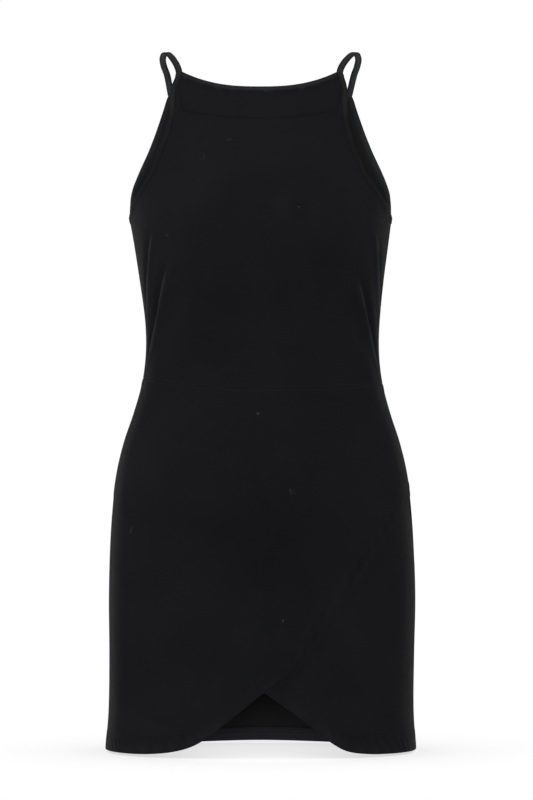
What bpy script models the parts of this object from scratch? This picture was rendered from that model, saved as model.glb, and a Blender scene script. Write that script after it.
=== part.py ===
"""Fitted shift mini dress with narrow straps and a wrapped tulip skirt, filled out as if it were worn.

Metres, +Z up. The front faces -Y and +X is the wearer's left. The origin lies midway between the undersides
of the two straps, where they cross the shoulders. Every cloth panel is a wall on one smooth form, and a place
on the form is given by an angle round the figure (0 at centre front, 90 at the side seam on the wearer's
left, 180 at centre back) and a height.
"""

import math
from typing import NamedTuple

import bmesh
import bpy
from mathutils import Vector

# Cloth and trim
WALL = 0.0012
FACING_WALL = 0.0010
SEAM_GAP = 0.0004
LAYER_GAP = 0.0007
BINDING_WIDTH = 0.0063
BINDING_THICKNESS = 0.0024
BINDING_SHOULDER = 0.30  # share of the width over which the folded edge of a binding rounds off

# Heights
UNDERARM_Z = -0.1890
HEM_Z = -0.7746
WAIST_FRONT_Z = -0.3710
WAIST_LEFT_Z = -0.3650
WAIST_RIGHT_Z = -0.3590
WAIST_BACK_Z = -0.3620
WAIST_MEAN_Z = 0.5 * (WAIST_LEFT_Z + WAIST_RIGHT_Z)
WAIST_BLEND = 0.0900  # the height over which a bodice's rows go from the waist seam's dip to level
CORNER_BLEND = 0.0300  # how far above the underarm the rows begin to take the neckline's curve

# Necklines: the height of the finished edge at the middle, and its rise out to the strap
FRONT_NECK_Z = -0.0392
FRONT_NECK_RISE = 0.0180
FRONT_NECK_HALF = 0.0865
FRONT_NECK_POWER = 2.6
BACK_NECK_Z = -0.0600
BACK_NECK_RISE = 0.0260
BACK_NECK_HALF = 0.0975
BACK_NECK_POWER = 2.2
NECK_END_SLANT = 0.01  # the ends of a neck binding lean in by this share, along the strap

# Facing inside the front neckline
FACING_MIDDLE_Z = -0.0753
FACING_END_Z = -0.0660
FACING_END_HALF = 0.0837

# The general figure: how square its sections are, and the soft crown of the bust
SQUARENESS = 2.25
CROWN_HEIGHT = 0.0070
CROWN_X = 0.0760
CROWN_Z = -0.2030
CROWN_SPREAD_X = 0.0400
CROWN_SPREAD_Z = 0.0480
FOLD_RADIUS = 0.1150  # turns an angle near the side seam into a length round the cloth

# Mesh density
FRONT_COLUMNS = 26
BACK_COLUMNS = 18
LOWER_BODICE_ROWS = 8
UPPER_BODICE_ROWS = 12
OVERLAY_ROWS = 12
UNDERLAY_ROWS = 11
BACK_SKIRT_ROWS = 11
FACING_ROWS = 2
STRAP_STEPS = 18
STRAP_FINE_STEPS = 12  # points read between two points of the strap's route before they are spaced evenly
SIDE_CROWDING = 0.06  # draws the columns towards the side seams, where the cloth curves most
ROW_CROWDING = 0.6  # draws the upper bodice's rows towards the underarm and the top corner
SKIRT_ROW_POWER = 1.35  # draws the skirt's rows towards the waist, where its flare begins
TINY = 1e-4
MERGE_DISTANCE = 1e-5
PANEL_SHARP_ANGLE = 50.0
BINDING_SHARP_ANGLE = 70.0

CLOTH_COLOUR = (0.0105, 0.0110, 0.0118, 1.0)
BINDING_COLOUR = (0.0150, 0.0155, 0.0165, 1.0)
CLOTH_ROUGHNESS = 0.92
CLOTH_SHEEN = 0.30


class Section(NamedTuple):
    """The outside of the dress at one height; shift is how far its middle lies towards +X."""

    z: float
    half_width: float
    front: float
    back: float
    shift: float


SECTIONS = (
    Section(z=-0.7746, half_width=0.1734, front=0.1150, back=0.1155, shift=0.0004),
    Section(z=-0.7300, half_width=0.1704, front=0.1145, back=0.1165, shift=0.0007),
    Section(z=-0.6675, half_width=0.1703, front=0.1140, back=0.1190, shift=0.0014),
    Section(z=-0.6050, half_width=0.1712, front=0.1135, back=0.1225, shift=0.0018),
    Section(z=-0.5420, half_width=0.1693, front=0.1120, back=0.1220, shift=0.0016),
    Section(z=-0.4950, half_width=0.1658, front=0.1090, back=0.1155, shift=0.0015),
    Section(z=-0.4640, half_width=0.1617, front=0.1055, back=0.1080, shift=0.0014),
    Section(z=-0.4320, half_width=0.1539, front=0.1010, back=0.0985, shift=0.0014),
    Section(z=-0.4010, half_width=0.1436, front=0.0965, back=0.0885, shift=0.0016),
    Section(z=-0.3720, half_width=0.1355, front=0.0940, back=0.0810, shift=0.0019),
    Section(z=-0.3450, half_width=0.1312, front=0.0940, back=0.0775, shift=0.0021),
    Section(z=-0.3180, half_width=0.1301, front=0.0980, back=0.0780, shift=0.0022),
    Section(z=-0.2910, half_width=0.1316, front=0.1045, back=0.0815, shift=0.0021),
    Section(z=-0.2510, half_width=0.1364, front=0.1150, back=0.0880, shift=0.0013),
    Section(z=-0.2105, half_width=0.1422, front=0.1210, back=0.0940, shift=0.0008),
    Section(z=-0.1770, half_width=0.1474, front=0.1195, back=0.0970, shift=0.0000),
    Section(z=-0.1570, half_width=0.1506, front=0.1150, back=0.0980, shift=0.0000),
    Section(z=-0.1300, half_width=0.1536, front=0.1055, back=0.0975, shift=0.0000),
    Section(z=-0.0800, half_width=0.1590, front=0.0820, back=0.0915, shift=-0.0004),
    Section(z=-0.0350, half_width=0.1635, front=0.0590, back=0.0740, shift=-0.0006),
    Section(z=0.0000, half_width=0.1660, front=0.0400, back=0.0560, shift=-0.0006),
)


class ArmholeRow(NamedTuple):
    """Where a bodice panel ends at one height, as an angle round the figure in degrees."""

    z: float
    angle: float


FRONT_ARMHOLE_RIGHT = (
    ArmholeRow(z=UNDERARM_Z, angle=90.0),
    ArmholeRow(z=-0.1866, angle=81.5),
    ArmholeRow(z=-0.1810, angle=74.0),
    ArmholeRow(z=-0.1694, angle=66.0),
    ArmholeRow(z=-0.1571, angle=57.8),
    ArmholeRow(z=-0.1382, angle=49.2),
    ArmholeRow(z=-0.1123, angle=42.8),
    ArmholeRow(z=-0.0905, angle=38.2),
    ArmholeRow(z=-0.0709, angle=34.6),
    ArmholeRow(z=-0.0470, angle=32.5),
    ArmholeRow(z=-0.0360, angle=31.8),
    ArmholeRow(z=-0.0260, angle=30.5),
)
# As it hangs, the front is cut or pulled deeper into the armhole on the wearer's left.
FRONT_ARMHOLE_LEFT = (
    ArmholeRow(z=UNDERARM_Z, angle=90.0),
    ArmholeRow(z=-0.1866, angle=80.5),
    ArmholeRow(z=-0.1810, angle=71.5),
    ArmholeRow(z=-0.1694, angle=61.5),
    ArmholeRow(z=-0.1571, angle=53.8),
    ArmholeRow(z=-0.1382, angle=44.8),
    ArmholeRow(z=-0.1123, angle=38.4),
    ArmholeRow(z=-0.0905, angle=34.8),
    ArmholeRow(z=-0.0709, angle=33.1),
    ArmholeRow(z=-0.0470, angle=32.2),
    ArmholeRow(z=-0.0360, angle=31.8),
    ArmholeRow(z=-0.0260, angle=30.5),
)
BACK_ARMHOLE = (
    ArmholeRow(z=UNDERARM_Z, angle=90.0),
    ArmholeRow(z=-0.1866, angle=97.0),
    ArmholeRow(z=-0.1805, angle=102.5),
    ArmholeRow(z=-0.1700, angle=107.3),
    ArmholeRow(z=-0.1571, angle=112.0),
    ArmholeRow(z=-0.1382, angle=120.2),
    ArmholeRow(z=-0.1123, angle=129.6),
    ArmholeRow(z=-0.0905, angle=135.3),
    ArmholeRow(z=-0.0709, angle=139.3),
    ArmholeRow(z=-0.0573, angle=141.5),
    ArmholeRow(z=-0.0400, angle=144.6),
)


class StrapPoint(NamedTuple):
    """A point on the middle line of the strap on the wearer's left, from the front corner to the back one."""

    x: float
    y: float
    z: float


STRAP_ROUTE = (
    StrapPoint(x=0.0893, y=-0.0462, z=-0.0225),
    StrapPoint(x=0.0933, y=-0.0375, z=-0.0134),
    StrapPoint(x=0.0977, y=-0.0245, z=-0.0052),
    StrapPoint(x=0.1033, y=-0.0075, z=0.0012),
    StrapPoint(x=0.1080, y=0.0105, z=0.0012),
    StrapPoint(x=0.1099, y=0.0260, z=-0.0035),
    StrapPoint(x=0.1087, y=0.0400, z=-0.0103),
    StrapPoint(x=0.1058, y=0.0530, z=-0.0193),
)
SHOULDER_AXIS_Y = 0.0120
SHOULDER_AXIS_Z = -0.0550
TWIST_ROUNDS = 14  # how gently the strap turns from the shoulder's slope to the panels'


class EdgeRow(NamedTuple):
    """A point on the lower edge of a skirt panel: an angle round the figure in degrees and a height."""

    angle: float
    z: float


OVERLAY_EDGE = (
    EdgeRow(angle=-90.0, z=-0.7746),
    EdgeRow(angle=-62.0, z=-0.7746),
    EdgeRow(angle=-50.0, z=-0.7744),
    EdgeRow(angle=-41.0, z=-0.7732),
    EdgeRow(angle=-33.0, z=-0.7704),
    EdgeRow(angle=-26.0, z=-0.7648),
    EdgeRow(angle=-20.0, z=-0.7550),
    EdgeRow(angle=-11.0, z=-0.7335),
    EdgeRow(angle=1.0, z=-0.7045),
    EdgeRow(angle=11.0, z=-0.6820),
    EdgeRow(angle=22.0, z=-0.6350),
    EdgeRow(angle=31.0, z=-0.5970),
    EdgeRow(angle=39.0, z=-0.5710),
    EdgeRow(angle=50.0, z=-0.5370),
    EdgeRow(angle=65.0, z=-0.5080),
    EdgeRow(angle=90.0, z=-0.4900),
)
UNDERLAY_EDGE = (
    EdgeRow(angle=-90.0, z=-0.4900),
    EdgeRow(angle=-60.0, z=-0.5180),
    EdgeRow(angle=-40.0, z=-0.5680),
    EdgeRow(angle=-22.0, z=-0.6300),
    EdgeRow(angle=-10.0, z=-0.6800),
    EdgeRow(angle=1.0, z=-0.7045),
    EdgeRow(angle=12.5, z=-0.7285),
    EdgeRow(angle=21.0, z=-0.7480),
    EdgeRow(angle=26.0, z=-0.7600),
    EdgeRow(angle=32.0, z=-0.7694),
    EdgeRow(angle=41.0, z=-0.7734),
    EdgeRow(angle=52.0, z=-0.7744),
    EdgeRow(angle=65.0, z=-0.7746),
    EdgeRow(angle=90.0, z=-0.7746),
)


class Fold(NamedTuple):
    """A drag line of slack cloth beside the waist; side is -1 or 1, and the angles are taken on that side."""

    side: int
    top_angle: float
    top_z: float
    low_angle: float
    low_z: float
    width: float
    height: float


FOLDS = (
    Fold(side=-1, top_angle=58.0, top_z=-0.2150, low_angle=82.0, low_z=-0.3000, width=0.0085, height=0.0022),
    Fold(side=-1, top_angle=45.0, top_z=-0.2270, low_angle=73.0, low_z=-0.3480, width=0.0090, height=0.0020),
    Fold(side=1, top_angle=62.0, top_z=-0.2180, low_angle=84.0, low_z=-0.2900, width=0.0080, height=0.0019),
    Fold(side=1, top_angle=52.0, top_z=-0.2450, low_angle=81.0, low_z=-0.3560, width=0.0085, height=0.0022),
    Fold(side=-1, top_angle=128.0, top_z=-0.2300, low_angle=104.0, low_z=-0.3200, width=0.01, height=0.0020),
    Fold(side=1, top_angle=124.0, top_z=-0.2400, low_angle=102.0, low_z=-0.3400, width=0.0100, height=0.0021),
)


def clear_scene():
    """Removes every object of the scene that is open."""
    for existing in list(bpy.data.objects):
        bpy.data.objects.remove(existing, do_unlink=True)


def smooth_between(low, high, value):
    """Goes from 0 at low to 1 at high with level ends."""
    share = min(max((value - low) / (high - low), 0.0), 1.0)
    return share * share * (3.0 - 2.0 * share)


def along(rows, key, column, value):
    """Reads a column of a table at a value of its key column, on a smooth curve through the rows."""
    value = min(max(value, getattr(rows[0], key)), getattr(rows[-1], key))
    last = len(rows) - 1
    index = 0
    while index < last - 1 and getattr(rows[index + 1], key) < value:
        index += 1
    spots = [getattr(rows[min(max(index + step, 0), last)], key) for step in (-1, 0, 1, 2)]
    sizes = [getattr(rows[min(max(index + step, 0), last)], column) for step in (-1, 0, 1, 2)]
    span = spots[2] - spots[1]
    rise = (sizes[2] - sizes[1]) / span
    start = rise if index == 0 else (sizes[2] - sizes[0]) / (spots[2] - spots[0])
    end = rise if index == last - 1 else (sizes[3] - sizes[1]) / (spots[3] - spots[1])
    share = (value - spots[1]) / span
    square, cube = share * share, share ** 3
    return (
        (2.0 * cube - 3.0 * square + 1.0) * sizes[1]
        + (cube - 2.0 * square + share) * span * start
        + (3.0 * square - 2.0 * cube) * sizes[2]
        + (cube - square) * span * end
    )


def fold_height(angle, z):
    """How far the drag lines stand off the form at a place."""
    total = 0.0
    side = 1 if angle > 0.0 else -1
    for fold in FOLDS:
        if fold.side != side or not fold.low_z < z < fold.top_z:
            continue
        share = (fold.top_z - z) / (fold.top_z - fold.low_z)
        middle = fold.top_angle + share * (fold.low_angle - fold.top_angle)
        apart = math.radians(abs(angle) - middle) * FOLD_RADIUS
        total += fold.height * math.sin(math.pi * share) * math.exp(-((apart / fold.width) ** 2))
    return total


def bare_point(angle, z):
    """The point of the form at an angle in degrees from -180 to 180 and a height, without its thickness."""
    sine, cosine = math.sin(math.radians(angle)), math.cos(math.radians(angle))
    half = along(SECTIONS, "z", "half_width", z)
    depth = along(SECTIONS, "z", "front" if cosine > 0.0 else "back", z)
    swell = (abs(sine) ** SQUARENESS + abs(cosine) ** SQUARENESS) ** (-1.0 / SQUARENESS)
    x = half * sine * swell
    y = -depth * cosine * swell
    if cosine > 0.0:
        beside = (abs(x) - CROWN_X) / CROWN_SPREAD_X
        above = (z - CROWN_Z) / CROWN_SPREAD_Z
        y -= CROWN_HEIGHT * math.exp(-beside * beside - above * above) * smooth_between(0.0, 0.5, cosine)
    stand = fold_height(angle, z)
    if stand:
        out = Vector((x / half ** 2, y / depth ** 2, 0.0)).normalized()
        x, y = x + stand * out.x, y + stand * out.y
    return Vector((x + along(SECTIONS, "z", "shift", z), y, z))


def form_normal(angle, z):
    """The outward direction of the form at a place."""
    step, rise = 0.8, 0.0015
    around = bare_point(angle + step, z) - bare_point(angle - step, z)
    up = bare_point(angle, z + rise) - bare_point(angle, z - rise)
    return around.cross(up).normalized()


def form_point(angle, z, inset=0.0):
    """The point at a place on the form, moved in by inset."""
    point = bare_point(angle, z)
    return point - inset * form_normal(angle, z) if inset else point


def angle_at(half, z, behind):
    """The angle, from 0 to 180, at which the form at height z is half wide on one side."""
    low, high = (90.0, 180.0) if behind else (0.0, 90.0)
    shift = along(SECTIONS, "z", "shift", z)
    for _ in range(40):
        middle = 0.5 * (low + high)
        wide = bare_point(middle, z).x - shift > half
        if wide == behind:
            low = middle
        else:
            high = middle
    return 0.5 * (low + high)


def girth_share(angle, z):
    """How far from the middle the form is at an angle, as a share of its half width."""
    shift = along(SECTIONS, "z", "shift", z)
    return abs(bare_point(angle, z).x - shift) / along(SECTIONS, "z", "half_width", z)


def crowded(share):
    """Moves an even share from 0 to 1 towards the nearer end."""
    even = 2.0 * share - 1.0
    return 0.5 + 0.5 * (even + SIDE_CROWDING * math.sin(math.pi * even))


def waist_z(angle):
    """The height of the waist seam, which dips a little at centre front and centre back."""
    side = WAIST_LEFT_Z if angle > 0.0 else WAIST_RIGHT_Z
    middle = WAIST_FRONT_Z if abs(angle) < 90.0 else WAIST_BACK_Z
    return side + (middle - side) * math.cos(math.radians(angle)) ** 2


def neck_edge_z(x, behind):
    """The height of the finished neck edge at a distance from the middle."""
    if behind:
        return BACK_NECK_Z + BACK_NECK_RISE * (abs(x) / BACK_NECK_HALF) ** BACK_NECK_POWER
    return FRONT_NECK_Z + FRONT_NECK_RISE * (abs(x) / FRONT_NECK_HALF) ** FRONT_NECK_POWER


def panel_top_z(x, behind):
    """The height at which the cloth of a bodice panel meets its neck binding."""
    return neck_edge_z(x, behind) - BINDING_WIDTH - SEAM_GAP


def armhole_table(behind, side):
    """The armhole edge of a bodice panel on one side, which is -1 or 1."""
    if behind:
        return BACK_ARMHOLE
    return FRONT_ARMHOLE_LEFT if side > 0 else FRONT_ARMHOLE_RIGHT


def corner_z(behind):
    """The height of a bodice panel's top corners, where its neckline meets its armholes."""
    table = armhole_table(behind, 1)
    z = table[-1].z
    for _ in range(20):
        z = min(panel_top_z(bare_point(along(table, "z", "angle", z), z).x, behind), table[-1].z)
    return z


def bodice_levels(behind):
    """The heights of a bodice panel's rows at its edges: the side seam first, then the armhole."""
    side_seam = UNDERARM_Z - WAIST_MEAN_Z
    lower = [WAIST_MEAN_Z + side_seam * row / LOWER_BODICE_ROWS for row in range(LOWER_BODICE_ROWS)]
    rise = corner_z(behind) - UNDERARM_Z
    upper = []
    for row in range(UPPER_BODICE_ROWS + 1):
        share = row / UPPER_BODICE_ROWS
        eased = 0.5 - 0.5 * math.cos(math.pi * share)
        upper.append(UNDERARM_Z + rise * (share + ROW_CROWDING * (eased - share)))
    return lower + upper


def bodice_edge(level, behind, side):
    """The angle, without its sign, at which a bodice panel ends at a height on one side.

    Low down that is its side seam, and higher up its armhole.
    """
    turn = math.degrees(0.5 * SEAM_GAP / along(SECTIONS, "z", "front", level))
    if level <= UNDERARM_Z + TINY:
        return 90.0 + turn if behind else 90.0 - turn
    return along(armhole_table(behind, side), "z", "angle", level)


def bodice_place(u, v, behind):
    """The angle and height of a point of a bodice panel, u running round it and v up it, both from 0 to 1."""
    levels = bodice_levels(behind)
    position = v * (len(levels) - 1)
    level = levels[round(position)]
    if behind:
        edge = bodice_edge(level, behind, 1)
        angle = edge + (360.0 - 2.0 * edge) * crowded(u)
        angle = angle - 360.0 if angle > 180.0 else angle
    else:
        around = 2.0 * crowded(u) - 1.0
        edge = bodice_edge(level, behind, 1 if around > 0.0 else -1)
        angle = edge * around
    low_share = 1.0 - smooth_between(WAIST_MEAN_Z, WAIST_MEAN_Z + WAIST_BLEND, level)
    high_share = smooth_between(UNDERARM_Z + CORNER_BLEND, levels[-1], level)
    corner = abs(bare_point(bodice_edge(levels[-1], behind, 1), levels[-1]).x)
    x = corner * girth_share(angle, level) / girth_share(edge, level)
    z = level + low_share * (waist_z(angle) + 0.5 * SEAM_GAP - WAIST_MEAN_Z)
    return angle, z + high_share * (panel_top_z(x, behind) - panel_top_z(corner, behind))


def skirt_place(u, v, edge):
    """The angle and height of a point of a front skirt panel that ends at a table of its lower edge."""
    turn = math.degrees(0.5 * SEAM_GAP / SECTIONS[0].front)
    angle = (turn - 90.0) + (180.0 - 2.0 * turn) * crowded(u)
    top = waist_z(angle) - 0.5 * SEAM_GAP
    return angle, top + (along(edge, "angle", "z", angle) - top) * (1.0 - v) ** SKIRT_ROW_POWER


def back_skirt_place(u, v):
    """The angle and height of a point of the back skirt."""
    turn = math.degrees(0.5 * SEAM_GAP / SECTIONS[0].back)
    angle = (90.0 + turn) + (180.0 - 2.0 * turn) * crowded(u)
    angle = angle - 360.0 if angle > 180.0 else angle
    top = waist_z(angle) - 0.5 * SEAM_GAP
    return angle, top + (HEM_Z - top) * (1.0 - v) ** SKIRT_ROW_POWER


def facing_place(u, v):
    """The angle and height of a point of the facing inside the front neckline."""
    top = angle_at(FRONT_NECK_HALF, FRONT_NECK_Z, False)
    low = angle_at(FACING_END_HALF, FACING_END_Z, False)
    angle = (low + (top - low) * v) * (2.0 * crowded(u) - 1.0)
    bend = abs(2.0 * u - 1.0) ** 2.0
    low_z = FACING_MIDDLE_Z + (FACING_END_Z - FACING_MIDDLE_Z) * bend
    high_z = panel_top_z(form_point(angle, FRONT_NECK_Z).x, False)
    return angle, low_z + (high_z - low_z) * v


def cloth_material(name, colour):
    """A matt, near black knitted cloth."""
    material = bpy.data.materials.new(name)
    material.use_nodes = True
    shader = material.node_tree.nodes["Principled BSDF"]
    shader.inputs["Base Color"].default_value = colour
    shader.inputs["Roughness"].default_value = CLOTH_ROUGHNESS
    shader.inputs["Metallic"].default_value = 0.0
    shader.inputs["Sheen Weight"].default_value = CLOTH_SHEEN
    material.diffuse_color = colour
    return material


def finish(name, bm, colour):
    """Makes a named object of a bmesh, shaded smooth, with a material of its own."""
    mesh = bpy.data.meshes.new(name)
    bm.to_mesh(mesh)
    bm.free()
    mesh.shade_smooth()
    mesh.materials.append(cloth_material(name + "_cloth", colour))
    piece = bpy.data.objects.new(name, mesh)
    bpy.context.scene.collection.objects.link(piece)
    return piece


def grid_on(columns, rows, place):
    """A grid of faces whose points lie where place(u, v) puts them, with u and v from 0 to 1."""
    bm = bmesh.new()
    bmesh.ops.create_grid(bm, x_segments=columns, y_segments=rows, size=0.5)
    for vertex in bm.verts:
        vertex.co = place(vertex.co.x + 0.5, vertex.co.y + 0.5)
    return bm


def panel(name, columns, rows, place, inset=0.0, wall=WALL):
    """A cloth panel: a sheet on the form, given its thickness inwards."""

    def point(u, v):
        angle, z = place(u, v)
        return form_point(angle, z, inset)

    piece = finish(name, grid_on(columns, rows, point), CLOTH_COLOUR)
    piece.data.set_sharp_from_angle(angle=math.radians(PANEL_SHARP_ANGLE))
    solidify = piece.modifiers.new("Wall", "SOLIDIFY")
    solidify.thickness = wall
    solidify.offset = -1.0
    solidify.use_even_offset = True
    return piece


def binding_ring():
    """The section of a folded binding: across it from -1 to 1, and through it from -1 to 1."""
    flat = 1.0 - 2.0 * BINDING_SHOULDER
    return ((-1.0, 0.0), (-flat, 1.0), (flat, 1.0), (1.0, 0.0), (flat, -1.0), (-flat, -1.0))


def sweep(name, rings, closed):
    """A strip through a row of rings of points, joined end to end or capped."""
    sides = len(rings[0])
    steps = len(rings) if closed else len(rings) - 1

    def point(u, v):
        return rings[round(u * steps) % len(rings)][round(v * sides) % sides]

    bm = grid_on(steps, sides, point)
    bmesh.ops.remove_doubles(bm, verts=bm.verts, dist=MERGE_DISTANCE)
    if not closed:
        bmesh.ops.holes_fill(bm, edges=[edge for edge in bm.edges if edge.is_boundary], sides=sides)
    bmesh.ops.recalc_face_normals(bm, faces=bm.faces)
    piece = finish(name, bm, BINDING_COLOUR)
    piece.data.set_sharp_from_angle(angle=math.radians(BINDING_SHARP_ANGLE))
    return piece


def neck_binding(name, columns, behind):
    """The folded strip along a neckline, from one strap to the other."""
    rings = []
    for column in range(columns + 1):
        angle, low_z = bodice_place(column / columns, 1.0, behind)
        ring = []
        for across, through in binding_ring():
            share = 0.5 + 0.5 * across
            lean = 1.0 - NECK_END_SLANT * share
            turned = (180.0 - (180.0 - abs(angle)) * lean) if behind else abs(angle) * lean
            depth = 0.5 * WALL - 0.5 * BINDING_THICKNESS * through
            height = low_z + SEAM_GAP + BINDING_WIDTH * share
            ring.append(form_point(math.copysign(turned, angle), height, depth))
        rings.append(ring)
    return sweep(name, rings, closed=False)


def armhole_run(side, behind):
    """The edge of a bodice panel, mid wall, from the underarm to its top corner, and the normals there."""
    points, normals = [], []
    for level in bodice_levels(behind)[LOWER_BODICE_ROWS:]:
        at_underarm = level <= UNDERARM_Z + TINY
        angle = side * (90.0 if at_underarm else bodice_edge(level, behind, side))
        points.append(form_point(angle, level, 0.5 * WALL))
        normals.append(form_normal(angle, level))
    return points, normals


def closed_path_tangents(points):
    """The direction of a closed path at each of its points."""
    count = len(points)
    return [(points[(i + 1) % count] - points[i - 1]).normalized() for i in range(count)]


def smoothed(vectors, rounds, fixed=()):
    """A closed row of vectors, each drawn towards the middle of its neighbours, apart from the fixed ones."""
    for _ in range(rounds):
        count = len(vectors)
        vectors = [
            vectors[i]
            if i in fixed
            else 0.5 * vectors[i] + 0.25 * (vectors[i - 1] + vectors[(i + 1) % count])
            for i in range(count)
        ]
    return vectors


def strap_points(start, end, side):
    """The strap's middle line, evenly spaced between the armhole's two top corners, which it leaves out."""
    knots = [start]
    knots += [Vector((side * point.x, point.y, point.z)) for point in STRAP_ROUTE]
    knots.append(end)
    knots = [2.0 * knots[0] - knots[1]] + knots + [2.0 * knots[-1] - knots[-2]]
    fine = []
    for i in range(1, len(knots) - 2):
        for step in range(STRAP_FINE_STEPS):
            share = step / STRAP_FINE_STEPS
            square, cube = share ** 2, share ** 3
            fine.append(
                0.5
                * (
                    2.0 * knots[i]
                    + (knots[i + 1] - knots[i - 1]) * share
                    + (2.0 * knots[i - 1] - 5.0 * knots[i] + 4.0 * knots[i + 1] - knots[i + 2]) * square
                    + (3.0 * knots[i] - knots[i - 1] - 3.0 * knots[i + 1] + knots[i + 2]) * cube
                )
            )
    fine.append(end)
    lengths = [0.0]
    for before, after in zip(fine, fine[1:]):
        lengths.append(lengths[-1] + (after - before).length)
    points, index = [], 0
    for step in range(1, STRAP_STEPS):
        target = lengths[-1] * step / STRAP_STEPS
        while lengths[index + 1] < target:
            index += 1
        share = (target - lengths[index]) / (lengths[index + 1] - lengths[index])
        points.append(fine[index].lerp(fine[index + 1], share))
    return points


def strap_and_binding(name, side):
    """One strip a side: it binds the armhole all round and runs on over the shoulder as the strap."""
    front, front_normals = armhole_run(side, behind=False)
    back, back_normals = (run[:0:-1] for run in armhole_run(side, behind=True))
    offset = SEAM_GAP + 0.5 * BINDING_WIDTH
    front_line, back_line = [], []
    for i, (place, normal) in enumerate(zip(front, front_normals)):
        before = front[i - 1] if i else back[-1]
        ahead = front[min(i + 1, len(front) - 1)] - before
        front_line.append(place + offset * side * ahead.cross(normal).normalized())
    for i, (place, normal) in enumerate(zip(back, back_normals)):
        after = back[i + 1] if i + 1 < len(back) else front[0]
        ahead = after - back[max(i - 1, 0)]
        back_line.append(place + offset * side * ahead.cross(normal).normalized())
    over = strap_points(front_line[-1], back_line[0], side)
    axis = Vector((0.0, SHOULDER_AXIS_Y, SHOULDER_AXIS_Z))
    over_normals = [Vector((0.0, point.y - axis.y, point.z - axis.z)).normalized() for point in over]
    points = front_line + over + back_line
    normals = front_normals + over_normals + back_normals
    on_panels = [i for i in range(len(points)) if not len(front) <= i < len(front) + len(over)]
    normals = smoothed(normals, TWIST_ROUNDS, fixed=on_panels)
    rings = []
    for point, tangent, normal in zip(points, closed_path_tangents(points), normals):
        across = tangent.cross(normal).normalized() * side
        through = across.cross(tangent).normalized() * side
        rings.append(
            [
                point
                + 0.5 * BINDING_WIDTH * a * across
                + 0.5 * BINDING_THICKNESS * t * through
                for a, t in binding_ring()
            ]
        )
    return sweep(name, rings, closed=True)


def build_bodice():
    """The front and back bodice panels and the facing of the front neckline."""
    rows = LOWER_BODICE_ROWS + UPPER_BODICE_ROWS
    panel("front_bodice", FRONT_COLUMNS, rows, lambda u, v: bodice_place(u, v, False))
    panel("back_bodice", BACK_COLUMNS, rows, lambda u, v: bodice_place(u, v, True))
    panel("front_neck_facing", FRONT_COLUMNS, FACING_ROWS, facing_place, WALL + LAYER_GAP, FACING_WALL)


def build_skirt():
    """The two front panels, which wrap over each other, and the back panel."""
    layers = (
        ("front_skirt_overlay", OVERLAY_ROWS, OVERLAY_EDGE, 0.0),
        ("front_skirt_underlay", UNDERLAY_ROWS, UNDERLAY_EDGE, WALL + LAYER_GAP),
    )
    for name, rows, edge, inset in layers:
        panel(name, FRONT_COLUMNS, rows, lambda u, v, edge=edge: skirt_place(u, v, edge), inset)
    panel("back_skirt", BACK_COLUMNS, BACK_SKIRT_ROWS, back_skirt_place)


def build_trim():
    """The neck bindings, and on each side the strip that is armhole binding and strap in one."""
    neck_binding("front_neck_binding", FRONT_COLUMNS, behind=False)
    neck_binding("back_neck_binding", BACK_COLUMNS, behind=True)
    strap_and_binding("left_strap_and_armhole_binding", 1)
    strap_and_binding("right_strap_and_armhole_binding", -1)


clear_scene()
build_bodice()
build_skirt()
build_trim()
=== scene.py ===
"""Fitted shift dress with narrow straps and a wrapped tulip skirt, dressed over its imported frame.

Metres, +Z up. The front faces -Y and +X is the wearer's left. Every piece of cloth is a fine sheet laid on
one smooth form, and a place on the form is an angle round the figure (0 at centre front, 90 at the side seam
on the wearer's left, 180 at centre back) and a height.
"""

from __future__ import annotations

import logging
import math
from dataclasses import dataclass
from enum import Enum
from typing import TypeVar

import bmesh
import bpy
import numpy as np
from mathutils import Matrix, Vector


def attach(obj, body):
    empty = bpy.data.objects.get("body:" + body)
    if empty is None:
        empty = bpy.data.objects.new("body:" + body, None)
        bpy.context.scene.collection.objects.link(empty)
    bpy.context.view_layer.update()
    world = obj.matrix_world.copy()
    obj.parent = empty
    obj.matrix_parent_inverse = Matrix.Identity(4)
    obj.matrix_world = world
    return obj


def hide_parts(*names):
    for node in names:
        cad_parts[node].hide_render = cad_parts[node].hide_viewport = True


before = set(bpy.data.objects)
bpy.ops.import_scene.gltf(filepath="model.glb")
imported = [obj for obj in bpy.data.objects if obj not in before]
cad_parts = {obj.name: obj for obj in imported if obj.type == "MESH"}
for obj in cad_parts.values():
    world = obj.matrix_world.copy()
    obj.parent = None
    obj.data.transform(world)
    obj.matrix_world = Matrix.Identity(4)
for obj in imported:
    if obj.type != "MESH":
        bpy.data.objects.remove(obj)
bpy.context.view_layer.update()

log = logging.getLogger("dress")
MM = 0.001
BODY = "root"
RING = np.linspace(0.0, 2.0 * np.pi, 6)
PATTERN = "Cloth"
TONE = "Tone"
LINING_TONE = "Lining tone"

Array = np.ndarray
Pair = tuple[float, float]
Triple = tuple[float, float, float]
Row = TypeVar("Row")


# ---------------------------------------- form


class Half(Enum):
    """The front or the back of the dress."""

    FRONT = "front"
    BACK = "back"

    @property
    def centre(self) -> float:
        """The angle of its middle, in degrees."""
        return 0.0 if self is Half.FRONT else 180.0


class Side(Enum):
    """The wearer's side, as the sign of its X."""

    LEFT = 1
    RIGHT = -1


@dataclass(frozen=True)
class Section:
    """The outside of the dress at one height; shift is how far its middle lies towards +X."""

    z: float
    half_width: float
    front: float
    back: float
    shift: float


@dataclass(frozen=True)
class ArmholeRow:
    """Where a bodice panel ends at one height, as an angle in degrees."""

    z: float
    angle: float


@dataclass(frozen=True)
class EdgeRow:
    """A point on the lower edge of a skirt panel."""

    angle: float
    z: float


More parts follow.
